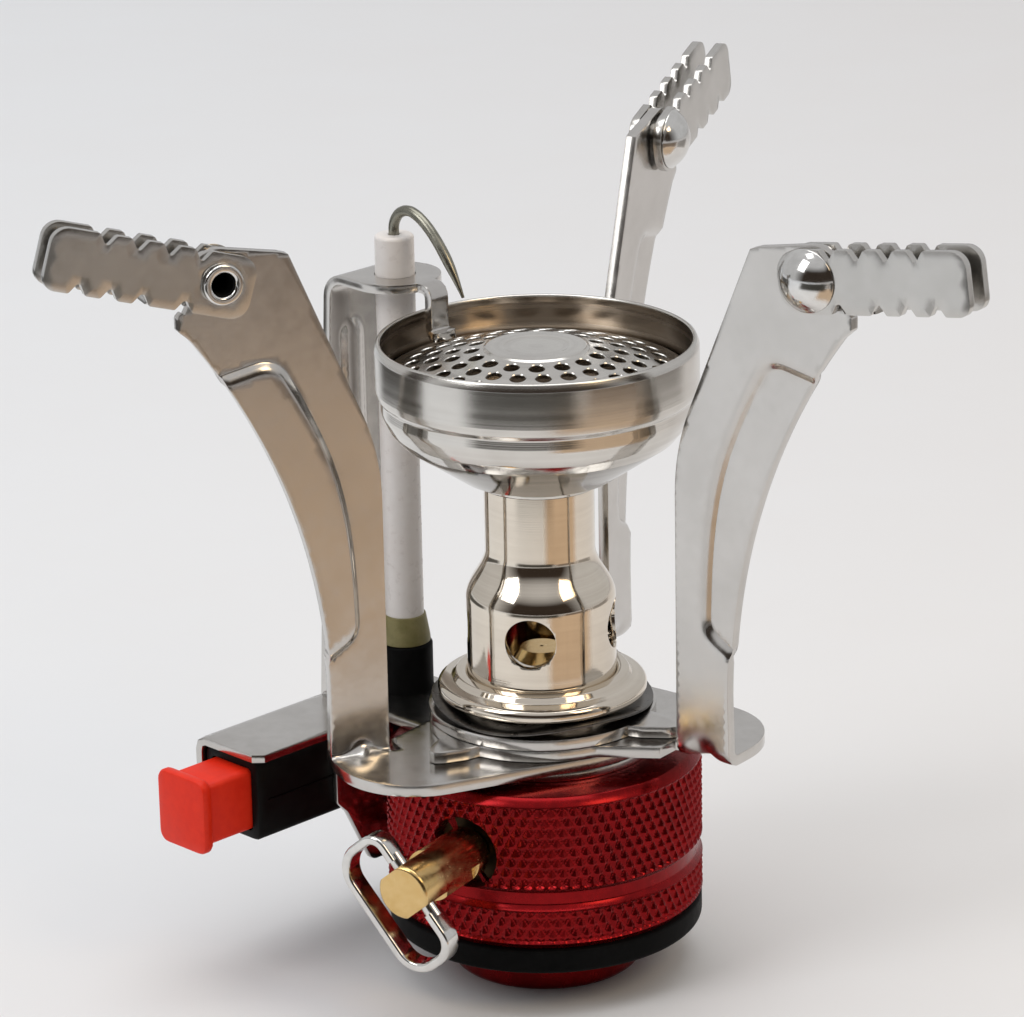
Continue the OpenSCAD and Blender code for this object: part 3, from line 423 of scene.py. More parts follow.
def new_material(name):
    """Material, its nodes and its shader."""
    material = bpy.data.materials.new(name)
    material.use_nodes = True
    return material, material.node_tree, material.node_tree.nodes["Principled BSDF"]


def surface(name, first, second, rough, scale=900, grain=4000, bump=0.1, rings=False, blotch=120,
            polished=None, **fixed):
    """Material whose colour wanders between two tones, with uneven gloss and a fine grain.

    polished (height in mm, share) makes it glossier under that height. fixed are the shader's own inputs.
    """
    material, tree, shader = new_material(name)
    wide = noise(tree, blotch, 3.0)
    middle = noise(tree, scale, rings=rings)
    fine = noise(tree, grain, 2.0, rings)
    tone = reckon(tree, "MULTIPLY_ADD", middle, 0.5, reckon(tree, "MULTIPLY", wide, 0.5))
    tree.links.new(tinted(tree, tone, first, second, *TONE_SPAN), shader.inputs["Base Color"])
    dull = ranged(tree, middle, *rough)
    if polished:
        height, share = polished
        ends = (height - POLISH_EDGE) * MM, (height + POLISH_EDGE) * MM
        dull = reckon(tree, "MULTIPLY", dull, ranged(tree, axes(tree, place(tree))[2], share, 1.0, *ends))
    tree.links.new(dull, shader.inputs["Roughness"])
    relief = add(tree, "Bump", Height=fine, Strength=bump, Distance=GRAIN_DEPTH)
    tree.links.new(relief.outputs[0], shader.inputs["Normal"])
    for key, value in fixed.items():
        shader.inputs[key.replace("__", " ")].default_value = value
    return material


TURNED = {"Metallic": 1.0, "grain": 9000, "rings": True}
ROLLED = {"Metallic": 1.0, "scale": 500, "grain": 6000}

RED = surface("red_anodised", (0.185, 0.0015, 0.003), (0.275, 0.003, 0.005), (0.2, 0.3), Metallic=0.9,
              Coat__Weight=0.08, Coat__Roughness=0.15)
BLACK_RUBBER = surface("black_rubber", (0.003, 0.003, 0.003), (0.006, 0.006, 0.006), (0.42, 0.55),
                       bump=0.2, Specular__IOR__Level=0.04)
BRASS = surface("brass", (0.66, 0.44, 0.17), (0.77, 0.55, 0.26), (0.16, 0.28), Metallic=1.0, bump=0.06)
# Near-black brass for the gland nut: painted shade deep in the spindle port
GLAND_SHADE_BRASS = surface("gland_painted_shade_brass", (0.03, 0.02, 0.012), (0.06, 0.04, 0.02), (0.35, 0.5), Metallic=1.0)
PLATED = surface("plated_wire", (0.66, 0.65, 0.63), (0.78, 0.77, 0.75), (0.07, 0.15), Metallic=1.0,
                 bump=0.04)
NICKEL = surface("nickel_plate", (0.68, 0.61, 0.52), (0.78, 0.71, 0.61), (0.05, 0.11), scale=1500,
                 bump=0.03, **TURNED)
SPUN = surface("spun_steel", (0.60, 0.575, 0.54), (0.72, 0.70, 0.66), (0.15, 0.25), scale=1800,
               bump=0.06, polished=(66.2, 0.4), **TURNED)
# Darker brown steel for the bowl's inner wall: painted shade inside the bowl
BOWL_INSIDE_SHADE = surface("bowl_inside_painted_shade", (0.17, 0.13, 0.095), (0.31, 0.26, 0.21), (0.2, 0.32), scale=1200,
                  bump=0.06, blotch=160, **TURNED)
# Darker copy of the spun steel for the bowl's downward faces: painted shade on its underside
UNDERSIDE_SHADE = surface("underside_painted_shade", (0.20, 0.185, 0.165), (0.30, 0.285, 0.26), (0.06, 0.12), scale=1200,
                bump=0.04, **TURNED)
SHEET = surface("sheet_steel", (0.56, 0.54, 0.515), (0.63, 0.61, 0.585), (0.15, 0.24), bump=0.015,
                **ROLLED)
ARM_SHEET = surface("arm_steel", (0.53, 0.515, 0.49), (0.61, 0.595, 0.57), (0.22, 0.27), bump=0.006,
                    **ROLLED)
SPRING = surface("spring_steel", (0.10, 0.095, 0.09), (0.18, 0.17, 0.16), (0.25, 0.38), Metallic=1.0)
WIRE = surface("electrode_steel", (0.20, 0.195, 0.16), (0.31, 0.30, 0.25), (0.22, 0.34), Metallic=1.0)
BLACK_PLASTIC = surface("black_plastic", (0.003, 0.003, 0.003), (0.006, 0.006, 0.006), (0.34, 0.46),
                        bump=0.15, Specular__IOR__Level=0.12)
RED_PLASTIC = surface("red_plastic", (0.74, 0.020, 0.004), (0.82, 0.030, 0.008), (0.36, 0.48),
                      Specular__IOR__Level=0.25)
CERAMIC = surface("white_ceramic", (0.77, 0.725, 0.695), (0.81, 0.775, 0.75), (0.26, 0.32), bump=0.03)
OLIVE = surface("olive_sleeve", (0.16, 0.14, 0.045), (0.24, 0.21, 0.085), (0.4, 0.55), bump=0.2)
# Dark rubber of the seals, also used as painted shade inside the rivets' hollow ends
SEAL_AND_BORE_SHADE = surface("seal_rubber_and_bore_shade", (0.012, 0.012, 0.012), (0.02, 0.02, 0.02), (0.45, 0.6), bump=0.2)


# Valve body

BODY_R, BODY_LOW, BODY_TOP, BODY_CHAMFER = 17.5, 8.35, 25.5, 1.0
GROOVE_R, GROOVE_LOW, GROOVE_TOP, GROOVE_SIDE, GROOVE_SOFT = 16.9, 12.6, 15.0, 0.65, 0.35
BOSS_R, SOCKET_R, THREAD_LENGTH, SOCKET_END, RELIEF_R = 10.6, 5.2, 6.5, 9.5, 5.7
KNURLS, KNURL_ROW, KNURL_DEPTH, KNURL_FLAT, KNURL_FADE = 84, 2.34, 0.40, 0.04, 0.3
KNURL_PARTS, KNURL_STEP = 8, 0.13
KNURL_BANDS = ((BODY_LOW + 0.35, GROOVE_LOW - 0.1), (GROOVE_TOP + 0.1, BODY_TOP - BODY_CHAMFER))
SPINDLE_AZ, SPINDLE_Z = 239.0, 18.4
PORT_R, PORT_MOUTH_R, PORT_IN, PORT_MOUTH, PORT_OUT = 3.8, 4.9, 11, 16.4, 19
RUBBER_R, RUBBER_LIP_R, RUBBER_LOW, RUBBER_TOP = 17.4, 16.8, 5.05, 8.33
THREAD_PITCH, THREAD_DEPTH, THREAD_START, THREAD_END = 25.4 / 28, 0.45, 0.6, THREAD_LENGTH - 0.2


def knurl(angle, r, z):
    """Crossed V grooves: how far the surface lies under the knurl's points."""
    for low, high in KNURL_BANDS:
        if r > BODY_R - 0.01 and low <= z <= high:
            along, up = angle * KNURLS / (2 * pi), z / KNURL_ROW
            groove = max(abs((t % 1.0) - 0.5) for t in (along + up, along - up))
            fade = smooth_step((z - low) / KNURL_FADE) * smooth_step((high - z) / KNURL_FADE)
            return -KNURL_DEPTH * fade * max(0.0, groove - KNURL_FLAT) / (0.5 - KNURL_FLAT)
    return 0.0


def body_profile():
    """Half section from the socket's end, round the boss and up the knurled side to the top."""
    def band(low, high):
        return [(BODY_R, z) for z in rows(low, high, KNURL_STEP)]
    under = BODY_LOW - 0.3
    lower = fillet([
        (0, SOCKET_END), (RELIEF_R, SOCKET_END, 0.3), (RELIEF_R, THREAD_LENGTH, 0.2),
        (SOCKET_R, THREAD_LENGTH, 0.2), (SOCKET_R, 0, 0.5), (BOSS_R, 0, 0.8), (BOSS_R, under, 0.2),
        (BODY_R - 0.5, under), (BODY_R - 0.3, BODY_LOW + 0.1)])
    soft = GROOVE_R + GROOVE_SOFT
    groove = [(BODY_R - 0.2, GROOVE_LOW), *arc((soft, GROOVE_LOW + GROOVE_SIDE), GROOVE_SOFT, 220, 180),
              *arc((soft, GROOVE_TOP - GROOVE_SIDE), GROOVE_SOFT, 180, 140), (BODY_R - 0.2, GROOVE_TOP)]
    upper = [(BODY_R, BODY_TOP - BODY_CHAMFER), (BODY_R - 0.08, BODY_TOP - 0.82),
             (BODY_R - 0.8, BODY_TOP - 0.1), (BODY_R - BODY_CHAMFER, BODY_TOP), (0, BODY_TOP)]
    return lower + band(*KNURL_BANDS[0]) + groove + band(*KNURL_BANDS[1]) + upper


def on_spindle(mesh_data):
    """Things drawn along X, put on the spindle's axis."""
    return moved(mesh_data, spin(SPINDLE_AZ) @ shift(0, 0, SPINDLE_Z))


def thread(angle, r, z):
    """Depth of the canister's thread under its outer radius."""
    wave = (z / THREAD_PITCH - angle / (2 * pi)) % 1.0
    return -THREAD_DEPTH * smooth_step(2 * abs(wave - 0.5)) if r < SOCKET_R - 0.01 else 0.0


knurled = lathe(body_profile(), KNURLS * KNURL_PARTS, knurl)
body = piece("knurled_body", knurled, RED, "valve_body")
cut(body, [on_spindle(rod((PORT_IN, 0, 0), (PORT_MOUTH, 0, 0), PORT_R)),
           on_spindle(rod((PORT_MOUTH, 0, 0), (PORT_OUT, 0, 0), PORT_R, PORT_MOUTH_R))])

rubber = fillet([
    (BOSS_R, RUBBER_LOW), (RUBBER_R, RUBBER_LOW, 0.7), (RUBBER_R, 7.75, 0.3), (RUBBER_LIP_R, 8.0, 0.15),
    (RUBBER_LIP_R, RUBBER_TOP), (BOSS_R, RUBBER_TOP)])
piece("rubber_ring", lathe(rubber), BLACK_RUBBER, "base_ring")

turns = [(SOCKET_R - 0.02, z) for z in rows(THREAD_START, THREAD_END, 0.09)]
turns += [(SOCKET_R + 0.15, THREAD_END), (SOCKET_R + 0.15, THREAD_START)]
piece("canister_thread", lathe(turns, 96, thread), RED)


# Control valve

GRIP_R, GRIP_IN, GRIP_OUT, HEAD_IN = 3.0, 16.5, 29.5, 25.3
STEM_R, STEM_IN = 2.0, 10.9
FLAT_MIDDLE, FLAT_CUT, FLAT_IN = 4.5, 2.0, 24.0
MILLED_IN, MILLED_FACE, MILLED_TURN = 18.6, 2.35, 8
HANDLE_AT, HANDLE_LEAN, HANDLE_END = 27.0, 50.0, 3.4
HANDLE_LOW, HANDLE_TOP, HANDLE_REACH, HANDLE_BEND = 8.0, -6.8, 6.4, 3.0
STRIP_W, STRIP_T, STRIP_SOFT = 2.4, 1.0, 0.3
PIN_R, PIN_HOLE_R, PIN_HALF = 0.85, 1.0, 4.0


waist = GRIP_R - 0.1
stem = fillet([
    (0, STEM_IN), (STEM_R, STEM_IN), (STEM_R, GRIP_IN), (waist, GRIP_IN, 0.3), (waist, HEAD_IN, 0.1),
    (GRIP_R, HEAD_IN + 0.1, 0.1), (GRIP_R, GRIP_OUT, 0.45), (0, GRIP_OUT)])
stem_on_x = moved(lathe(stem, 96), spin(90, "Y"))
spindle = piece("brass_spindle", on_spindle(stem_on_x), BRASS, "valve_spindle", "valve_spindle")
lean = spin(-HANDLE_LEAN, "X")
flats = [block((FLAT_IN, y - FLAT_CUT, -4), (30, y + FLAT_CUT, 4)) for y in (-FLAT_MIDDLE, FLAT_MIDDLE)]
cross_hole = rod((HANDLE_AT, -PIN_HALF, 0), (HANDLE_AT, PIN_HALF, 0), PIN_HOLE_R)
milled = moved(block((MILLED_IN, MILLED_FACE, -4), (HEAD_IN - 0.5, 5, 0.3)), spin(-MILLED_TURN, "X"))
tools = [moved(tool, lean) for tool in (*flats, cross_hole)] + [milled]
cut(spindle, [on_spindle(tool) for tool in tools], edge=0.12)


def handle_shape():
    """Flat strip bent round three sides, and the pin through the cross hole that it ends in."""
    bends = ((HANDLE_LOW, 0), (HANDLE_LOW, -HANDLE_REACH), (HANDLE_TOP, -HANDLE_REACH), (HANDLE_TOP, 0))
    corners = [(HANDLE_END, 0), *((*bend, HANDLE_BEND) for bend in bends), (-HANDLE_END, 0)]
    section = rounded_box(STRIP_T / 2, STRIP_W / 2, STRIP_SOFT)
    strip = sweep([(HANDLE_AT, a, b) for a, b in fillet(corners, 8.0)], section, normal=(1, 0, 0))
    pin = rod((HANDLE_AT, -PIN_HALF, 0), (HANDLE_AT, PIN_HALF, 0), PIN_R, segments=32)
    return moved(merged([strip, pin]), lean)


piece("strip_handle", on_spindle(handle_shape()), PLATED, "handle_loop", "handle_loop")


# Column, bowl and burner plate

SPIGOT_R, SPIGOT_BORE, SPIGOT_LOW = 9.0, 7.0, 21.12
FLANGE_R, FLANGE_LOW, FLANGE_TOP = 11.5, 31.7, 33.1
TUBE_R, TUBE_LOW, TUBE_PLAIN = 8.2, 34.3, (35.2, 42.2)
SHOULDER_LOW, SHOULDER_H = 42.6, 5.6
NECK_R, NECK_BORE, NECK_LOW, COLUMN_TOP = 6.0, 5.0, 48.8, 58.2
AIR_HOLE_R, AIR_HOLE_Z, AIR_HOLE_AZ, AIR_HOLES = 2.8, 39.7, 261.0, 4
# Top of the painted shade inside the bowl, and top and slope of the painted shade on its underside
INSIDE_SHADE_TOP, UNDERSIDE_SHADE_TOP, UNDERSIDE_SHADE_SLOPE = 71.3, 61.2, -0.3
PLATE_R, PLATE_T, PLATE_LOW, PLATE_EDGE_Z, PLATE_SWELL = 16.5, 0.5, 66.62, 68.0, 0.25
CENTRE_R, CENTRE_Z, CENTRE_LOW = 5.8, 70.7, 70.4
HOLE_R, HOLE_SOFT, RING_R, RING_STEP, RINGS, RING_COUNT, RING_MORE = 0.85, 0.12, 7.0, 2.15, 4, 16, 5
WAVES, WAVE_R, WAVE_LOW, WAVE_RISE, WAVE_T = 3, (9.12, 12.2), 30.44, 0.88, 0.3


def shoulder_point(angle):
    share = (1 + polar(1.0, angle)[0]) / 2
    return NECK_R + (TUBE_R - NECK_R) * share, SHOULDER_LOW + SHOULDER_H * angle / 180


def column_profile():
    """Half section: spigot, stepped flange, tube, shoulder and neck."""
    foot = fillet([
        (SPIGOT_BORE, SPIGOT_LOW), (SPIGOT_R, SPIGOT_LOW), (SPIGOT_R, FLANGE_LOW),
        (FLANGE_R, FLANGE_LOW, 0.5), (FLANGE_R, FLANGE_TOP, 0.9), (9.9, 33.45, 0.3), (9.5, 34.1, 0.3),
        (TUBE_R, TUBE_LOW, 0.5)])
    tube = [(TUBE_R, z) for z in rows(*TUBE_PLAIN, 0.5)]
    shoulder = [shoulder_point(a) for a in range(0, 181, 6)]
    neck = [(NECK_R, z) for z in rows(NECK_LOW, COLUMN_TOP - 0.5, 0.5)] + [(NECK_R, COLUMN_TOP)]
    bore = [(NECK_BORE, COLUMN_TOP), (NECK_BORE, NECK_LOW - 0.2), (SPIGOT_BORE, SHOULDER_LOW)]
    return foot + tube + shoulder + neck + bore


column = piece("plated_column", lathe(column_profile()), NICKEL, "burner_column")
air_holes = [rod((*polar(4, a), AIR_HOLE_Z), (*polar(9.5, a), AIR_HOLE_Z), AIR_HOLE_R, segments=64)
             for a in (AIR_HOLE_AZ + k * 360 / AIR_HOLES for k in range(AIR_HOLES))]
cut(column, air_holes, edge=0.18)

bowl_outside = [
    (6.03, 55.6), (6.62, 55.6, 0.2), (6.7, 56.1, 0.3), (8.45, 56.6, 0.9), (15.1, 61.15, 0.3),
    (16.1, 62.4, 1.6), (16.9, 64.2, 1.5), (16.85, 65.5, 0.3), (17.35, 66.1, 0.4), (17.5, 66.9, 0.6),
    (17.5, 71.0, 0.7), (17.2, 71.8, 0.25)]
bowl_inside = [
    (16.7, 71.8, 0.25), (16.9, 70.9, 0.4), (16.9, 66.7, 0.3), (16.1, 66.0, 0.3), (16.1, 64.6, 0.6),
    (15.6, 63.2, 0.8), (14.7, 61.6, 1.4), (8.2, 57.2, 0.8), (6.03, 56.9)]
spun = lathe(fillet(bowl_outside + bowl_inside), 192)
bowl = piece("spun_bowl", spun, SPUN, "burner_bowl")
# The inner wall below the rim gets painted shade, a darker brown steel
coat(bowl, BOWL_INSIDE_SHADE, lambda at, normal: at.z < INSIDE_SHADE_TOP and normal.xy.dot(at.xy) < 0)
# Faces under the bowl that look down get painted shade, a darker steel
coat(bowl, UNDERSIDE_SHADE, lambda at, normal: at.z < UNDERSIDE_SHADE_TOP and normal.z < UNDERSIDE_SHADE_SLOPE)


def plate_height(r):
    """Top face of the burner plate between its plain centre and its edge."""
    share = (r - CENTRE_R) / (PLATE_R - 0.6 - CENTRE_R)
    return CENTRE_Z + (PLATE_EDGE_Z - CENTRE_Z) * share + PLATE_SWELL * sin(pi * share)


def plate_profile():
    """Half section: edge, dome and raised centre above, then the same a sheet's thickness lower."""
    radii = [15.4 - 1.2 * k for k in range(8)] + [6.4]
    dome = [(r, plate_height(r)) for r in radii]
    wall = PLATE_R - PLATE_T
    edge = [(wall, PLATE_LOW), (PLATE_R, PLATE_LOW), (PLATE_R, PLATE_EDGE_Z, 0.8)]
    centre = [(5.75, CENTRE_Z + 0.02, 0.3), (5.4, 70.95, 0.4), (3.75, 71.0, 0.15), (3.35, 70.86, 0.15),
              (0, 70.9), (0, CENTRE_LOW), (5.2, CENTRE_LOW)]
    under = [(r - 0.1, z - PLATE_T) for r, z in reversed(dome)]
    return fillet(edge + dome + centre + under + [(wall, PLATE_EDGE_Z - PLATE_T, 0.4)])


def flame_holes():
    """Places of the holes, square to the plate's slope."""
    for ring in range(RINGS):
        count, r = RING_COUNT + ring * RING_MORE, RING_R + ring * RING_STEP
        slope = degrees(atan(plate_height(r - 0.5) - plate_height(r + 0.5)))
        for i in range(count):
            yield spin(360 * i / count) @ shift(r, 0, plate_height(r)) @ spin(slope, "Y")


plate = piece("flame_plate", lathe(plate_profile(), 192), SPUN, "burner_plate")
mouth_r = HOLE_R + HOLE_SOFT
punch = lathe([(0, -2), (HOLE_R, -2), (HOLE_R, -0.1), (mouth_r, 0.04), (mouth_r, 0.5), (0, 0.5)], 24)
cut(plate, [merged(moved(punch, hole) for hole in flame_holes())])


def wave_shape():
    """Flat ring that rises and falls in waves."""
    middle, half = sum(WAVE_R) / 2, (WAVE_R[1] - WAVE_R[0]) / 2

    def rise(angle):
        return WAVE_RISE * (1 - cos(radians(WAVES * angle))) / 2
    path = [(*polar(middle, a), WAVE_LOW + WAVE_T / 2 + rise(a)) for a in range(0, 360, 3)]
    return sweep(path, rounded_box(half, WAVE_T / 2, 0.1, 45.0), closed=True, normal=UP)


piece("spring_washer", wave_shape(), SPRING, "wave_washer")


# Legs and pot arms

LEG_T, LEG_EDGE, LEG_RING_R, LEG_BORE_R, FOLD_R = 1.2, 0.2, 12.5, 9.06, 1.1
BLADE_IN, BLADE_OUT, FOOT_RUN, FOOT_END, FOOT_CORNER = 18.4, 25.0, 30.0, 25.2, 9.0
BLADE_TOP, BLADE_BEND_Z, BLADE_LEAN, BLADE_BEND_R = 58.4, 34.7, 21.5, 26.0
CURVE_R, CURVE_Z = 70.0, 8.0
CURVE_C = (BLADE_OUT + CURVE_R, CURVE_Z)
PIVOT_X, PIVOT_Z, HEAD_R, HOOK_X, HOOK_Z, HOOK_DROP = 35.8, 56.2, 3.4, 40.4, 52.7, 2.5
PANEL_LOW, PANEL_TOP, PANEL_W, PANEL_PRESS, PANEL_SOFT = 15.0, 46.6, (3.3, 5.6), 0.65, (0.45, 0.6)
PANEL_PAST, PANEL_ROUND, BORDER_STEP = 1.5, (2.6, 2.4), 0.5
GUSSET_X, GUSSET_R, GUSSET_PRESS = 21.6, 1.4, 0.55
LUG_R, LUG_W, LUG_AZ, LUG_ROOT = 17.2, 5.0, -98.0, 13.8
RELIEF_X, RELIEF_W, RING_FRONT = 17.8, 1.2, -27.2
GUIDE_OFFSETS = (-1.0, -0.6, -0.2, 0.2, 0.6, 1.0)
RIVET_R, RIVET_FACE, DOME_R, DOME_H, DOME_STEPS = 1.9, 1.96, 3.35, 1.9, 14
ROLL_R, ROLL_H, ROLL_BORE, ROLL_DEPTH = 2.2, 0.6, 1.25, 0.6
PIVOT_BORE_R = RIVET_R + 0.05


def walk(points):
    """Maps a length along a line of points to its place, and gives the length at each point."""
    lengths = [0.0]
    for a, b in zip(points, points[1:]):
        lengths.append(lengths[-1] + (b - a).length)

    def at(s):
        k = max(0, min(bisect.bisect_left(lengths, s) - 1, len(points) - 2))
        step = max(lengths[k + 1] - lengths[k], NO_LENGTH)
        return points[k] + (points[k + 1] - points[k]) * ((s - lengths[k]) / step)
    return at, lengths


def bent(path, radii):
    """Maps a length along a bent line to its points, and gives the length at each corner's end."""
    path = [Vector(p) for p in path]
    points, ends = [path[0]], []
    for last, p, after, radius in zip(path, path[1:], path[2:], radii):
        points += corner_arc(p, last - p, after - p, radius)
        ends.append(len(points) - 1)
    at, lengths = walk([*points, path[-1]])
    return at, [lengths[k] for k in ends]


leg_fold, (blade_start,) = bent([(FOOT_RUN, LEG_T / 2), (0, LEG_T / 2), (0, 70)], [FOLD_R])
blade_shift = blade_start - LEG_T / 2 - FOLD_R


def on_foot(x, y):
    """Foot plate's place in the flat sheet."""
    return x, FOOT_RUN - y


def on_blade(x, z):
    """Blade's place in the flat sheet."""
    return x, z + blade_shift


def blade_outline():
    """Outer edge upwards, hook, round head, and down the inner edge."""
    curve_end = 180 - degrees(asin((HOOK_Z - HOOK_DROP - CURVE_Z) / CURVE_R))
    bend_low = BLADE_BEND_Z - BLADE_BEND_R * tan(radians(BLADE_LEAN / 2))
    top_in = BLADE_IN + (BLADE_TOP - BLADE_BEND_Z) * tan(radians(BLADE_LEAN))
    edge = arc(CURVE_C, CURVE_R, 180, curve_end, 0.4)
    hook = fillet([edge[-1], (HOOK_X, HOOK_Z - 1.4, 0.4), (HOOK_X, HOOK_Z, 0.5),
                   (HOOK_X - 0.7, HOOK_Z + 0.7, 0.3)])
    head = arc((PIVOT_X, PIVOT_Z), HEAD_R, -30, 105)
    corner = [(top_in + 1.2, BLADE_TOP), (top_in + 0.3, BLADE_TOP - 0.3), (top_in, BLADE_TOP - 1.0)]
    inner = arc((BLADE_IN + BLADE_BEND_R, bend_low), BLADE_BEND_R, 180 - BLADE_LEAN, 180, 2.0)
    return edge + hook[1:] + head + corner + inner + [(BLADE_IN, 3.0)]


def foot_outline():
    """Relief beside the blade, ring with its detent lug, and the foot's round corner."""
    lug_turn = degrees(asin(LUG_W / 2 / LEG_RING_R))
    lug_end = sqrt(LUG_R ** 2 - (LUG_W / 2) ** 2)
    lug_side = [(LUG_ROOT, 0.9), (lug_end - 0.7, 0.42), (lug_end, 0.15)]
    lug = lug_side + [(x, -share) for x, share in reversed(lug_side)]
    ring = arc((0, 0), LEG_RING_R, RING_FRONT, LUG_AZ + lug_turn)
    ring += [tuple((spin(LUG_AZ) @ Vector((x, share * LUG_W / 2, 0))).xy) for x, share in lug]
    ring += arc((0, 0), LEG_RING_R, LUG_AZ - lug_turn, -270)
    relief = [(BLADE_IN, 0.9), (BLADE_IN - RELIEF_W / 2, 1.2), (BLADE_IN - RELIEF_W, 0.9),
              (BLADE_IN - RELIEF_W, -2)]
    corner = arc((FOOT_END - FOOT_CORNER, LEG_RING_R - FOOT_CORNER), FOOT_CORNER, 90, 0)
    return relief + ring + corner + [(FOOT_END, 1.5)]


def panel_border():
    """Line round the pressed panel: in from the blade's outer edge, down its inner side and back out."""
    def width(z):
        return PANEL_W[0] + (PANEL_W[1] - PANEL_W[0]) * smooth_step((z - PANEL_LOW + 4) / 26)
    heights = [PANEL_TOP - 4 - 2.5 * k for k in range(10)]
    depths = [(-PANEL_PAST, PANEL_TOP - 1.6), (width(PANEL_TOP), PANEL_TOP),
              *((width(z), z) for z in heights),
              (width(PANEL_LOW), PANEL_LOW), (-PANEL_PAST, PANEL_LOW - 3.0)]
    corners = [(CURVE_C[0] - sqrt((CURVE_R + d) ** 2 - (z - CURVE_Z) ** 2), z) for d, z in depths]
    for k, radius in zip((1, -2), PANEL_ROUND):
        corners[k] = (*corners[k], radius)
    line, lengths = walk([Vector(p) for p in fillet(corners)])
    return [line(BORDER_STEP * k) for k in range(int(lengths[-1] / BORDER_STEP) + 1)]


BORDER = panel_border()
BORDER_LINES = list(zip(BORDER, BORDER[1:]))
BORDER_LOOP = BORDER_LINES + [(BORDER[-1], BORDER[0])]


def panel_slope(z):
    """Half the width of the panel's sloping border, which is broader along its top."""
    return PANEL_SOFT[0] + (PANEL_SOFT[1] - PANEL_SOFT[0]) * smooth_step((z - PANEL_TOP + 7) / 4)


def panel(x, z):
    """How far the sheet is pressed out along the blade's outer edge, from 0 to 1."""
    p = Vector((x, z))
    near = min(distance(p, a, b) for a, b in BORDER_LINES)
    return smooth_step(0.5 + (near if inside(p, BORDER_LOOP) else -near) / (2 * panel_slope(z)))


def press_guides():
    """Rows of points along the panel's border and the foot's fold, so that both bend smoothly."""
    for a, b in BORDER_LINES:
        across = Vector((a.y - b.y, b.x - a.x)).normalized()
        for offset in GUIDE_OFFSETS:
            yield on_blade(*((a + b) / 2 + across * offset * panel_slope(a.y)))
    for row in range(9):
        for k in range(14):
            yield BLADE_IN + 0.35 + 0.45 * k, blade_start - 2.2 + 0.3 * row


def leg_bend(x, s):
    """Place of the flat sheet's point (x, s) in the leg, folded and pressed."""
    if x < RELIEF_X:
        return x, FOOT_RUN - s, LEG_T / 2
    y, z = leg_fold(s)
    gusset = GUSSET_PRESS * exp(-((x - GUSSET_X) ** 2 + (s - blade_start + 0.9) ** 2) / GUSSET_R ** 2)
    press = PANEL_PRESS * panel(x, z) if z > 5 else 0.0
    return x, y + press + gusset, z + gusset


def leg_shape():
    outline = [on_blade(*p) for p in blade_outline()] + [on_foot(*p) for p in foot_outline()]
    bores = [[on_foot(*p) for p in circle((0, 0), LEG_BORE_R, 6.0)],
             [on_blade(*p) for p in circle((PIVOT_X, PIVOT_Z), PIVOT_BORE_R)]]
    return sheet_piece(outline, leg_bend, LEG_T, LEG_EDGE, step=0.6, holes=bores, guides=list(press_guides()))


ARM_T, ARM_EDGE, ARM_HALF, ARM_LENGTH, ARM_BACK = 0.9, 0.22, 1.9, 19.2, 3.5
ARM_OVER, ARM_UNDER, ARM_TIP_R, ARM_HEELS = 3.2, 3.5, 1.8, (2.0, 3.2)
NOTCH_W, NOTCH_D, NOTCH_STEP, NOTCH_FLAT = 1.9, 1.1, 3.5, 0.2
UPPER_NOTCHES = [2.75 + NOTCH_STEP * i for i in range(4)]
LOWER_NOTCHES = [3.55] + [8.3 + NOTCH_STEP * i for i in range(3)]
WEB_IN, WEB_OUT, WEB_T, WEB_BEND = 4.4, 7.6, 0.96 * ARM_T, 0.3


def arm_wall(heel_r):
    """Side view of an arm's wall, with rounded V notches above and below."""
    def notch(x, edge, depth):
        side = 1 if depth > 0 else -1
        return [(x - side * NOTCH_W / 2, edge, 0.35), (x - side * NOTCH_FLAT, edge + depth, 0.3),
                (x + side * NOTCH_FLAT, edge + depth, 0.3), (x + side * NOTCH_W / 2, edge, 0.35)]
    corners = [(-ARM_BACK, -ARM_UNDER, heel_r)]
    for x in LOWER_NOTCHES:
        corners += notch(x, -ARM_UNDER, NOTCH_D)
    corners += [(ARM_LENGTH, -ARM_UNDER, ARM_TIP_R), (ARM_LENGTH, ARM_OVER, ARM_TIP_R)]
    for x in reversed(UPPER_NOTCHES):
        corners += notch(x, ARM_OVER, -NOTCH_D)
    corners += [(-ARM_BACK, ARM_OVER, heel_r)]
    return fillet(corners)


def arm_shape():
    """Two walls, and the web that joins them underneath."""
    middle = ARM_HALF - ARM_T / 2
    parts = []
    for heel_r, side in zip(ARM_HEELS, (middle, -middle)):
        parts.append(sheet_piece(arm_wall(heel_r), lambda x, z: (x, side, z), ARM_T, ARM_EDGE,
                                 step=1.1, holes=[circle((0, 0), PIVOT_BORE_R)]))
    web_top, web_low = 0.6 - ARM_UNDER, ARM_T / 2 - ARM_UNDER
    channel, _ = bent([(middle, web_top), (middle, web_low), (-middle, web_low), (-middle, web_top)],
                      [WEB_BEND, WEB_BEND])
    web = [(WEB_IN, 0.05), (WEB_OUT, 0.05), (WEB_OUT, 3.6), (WEB_IN, 3.6)]
    parts.append(sheet_piece(web, lambda x, s: (x, *channel(s)), WEB_T, 0.15, step=0.3))
    return merged(parts)


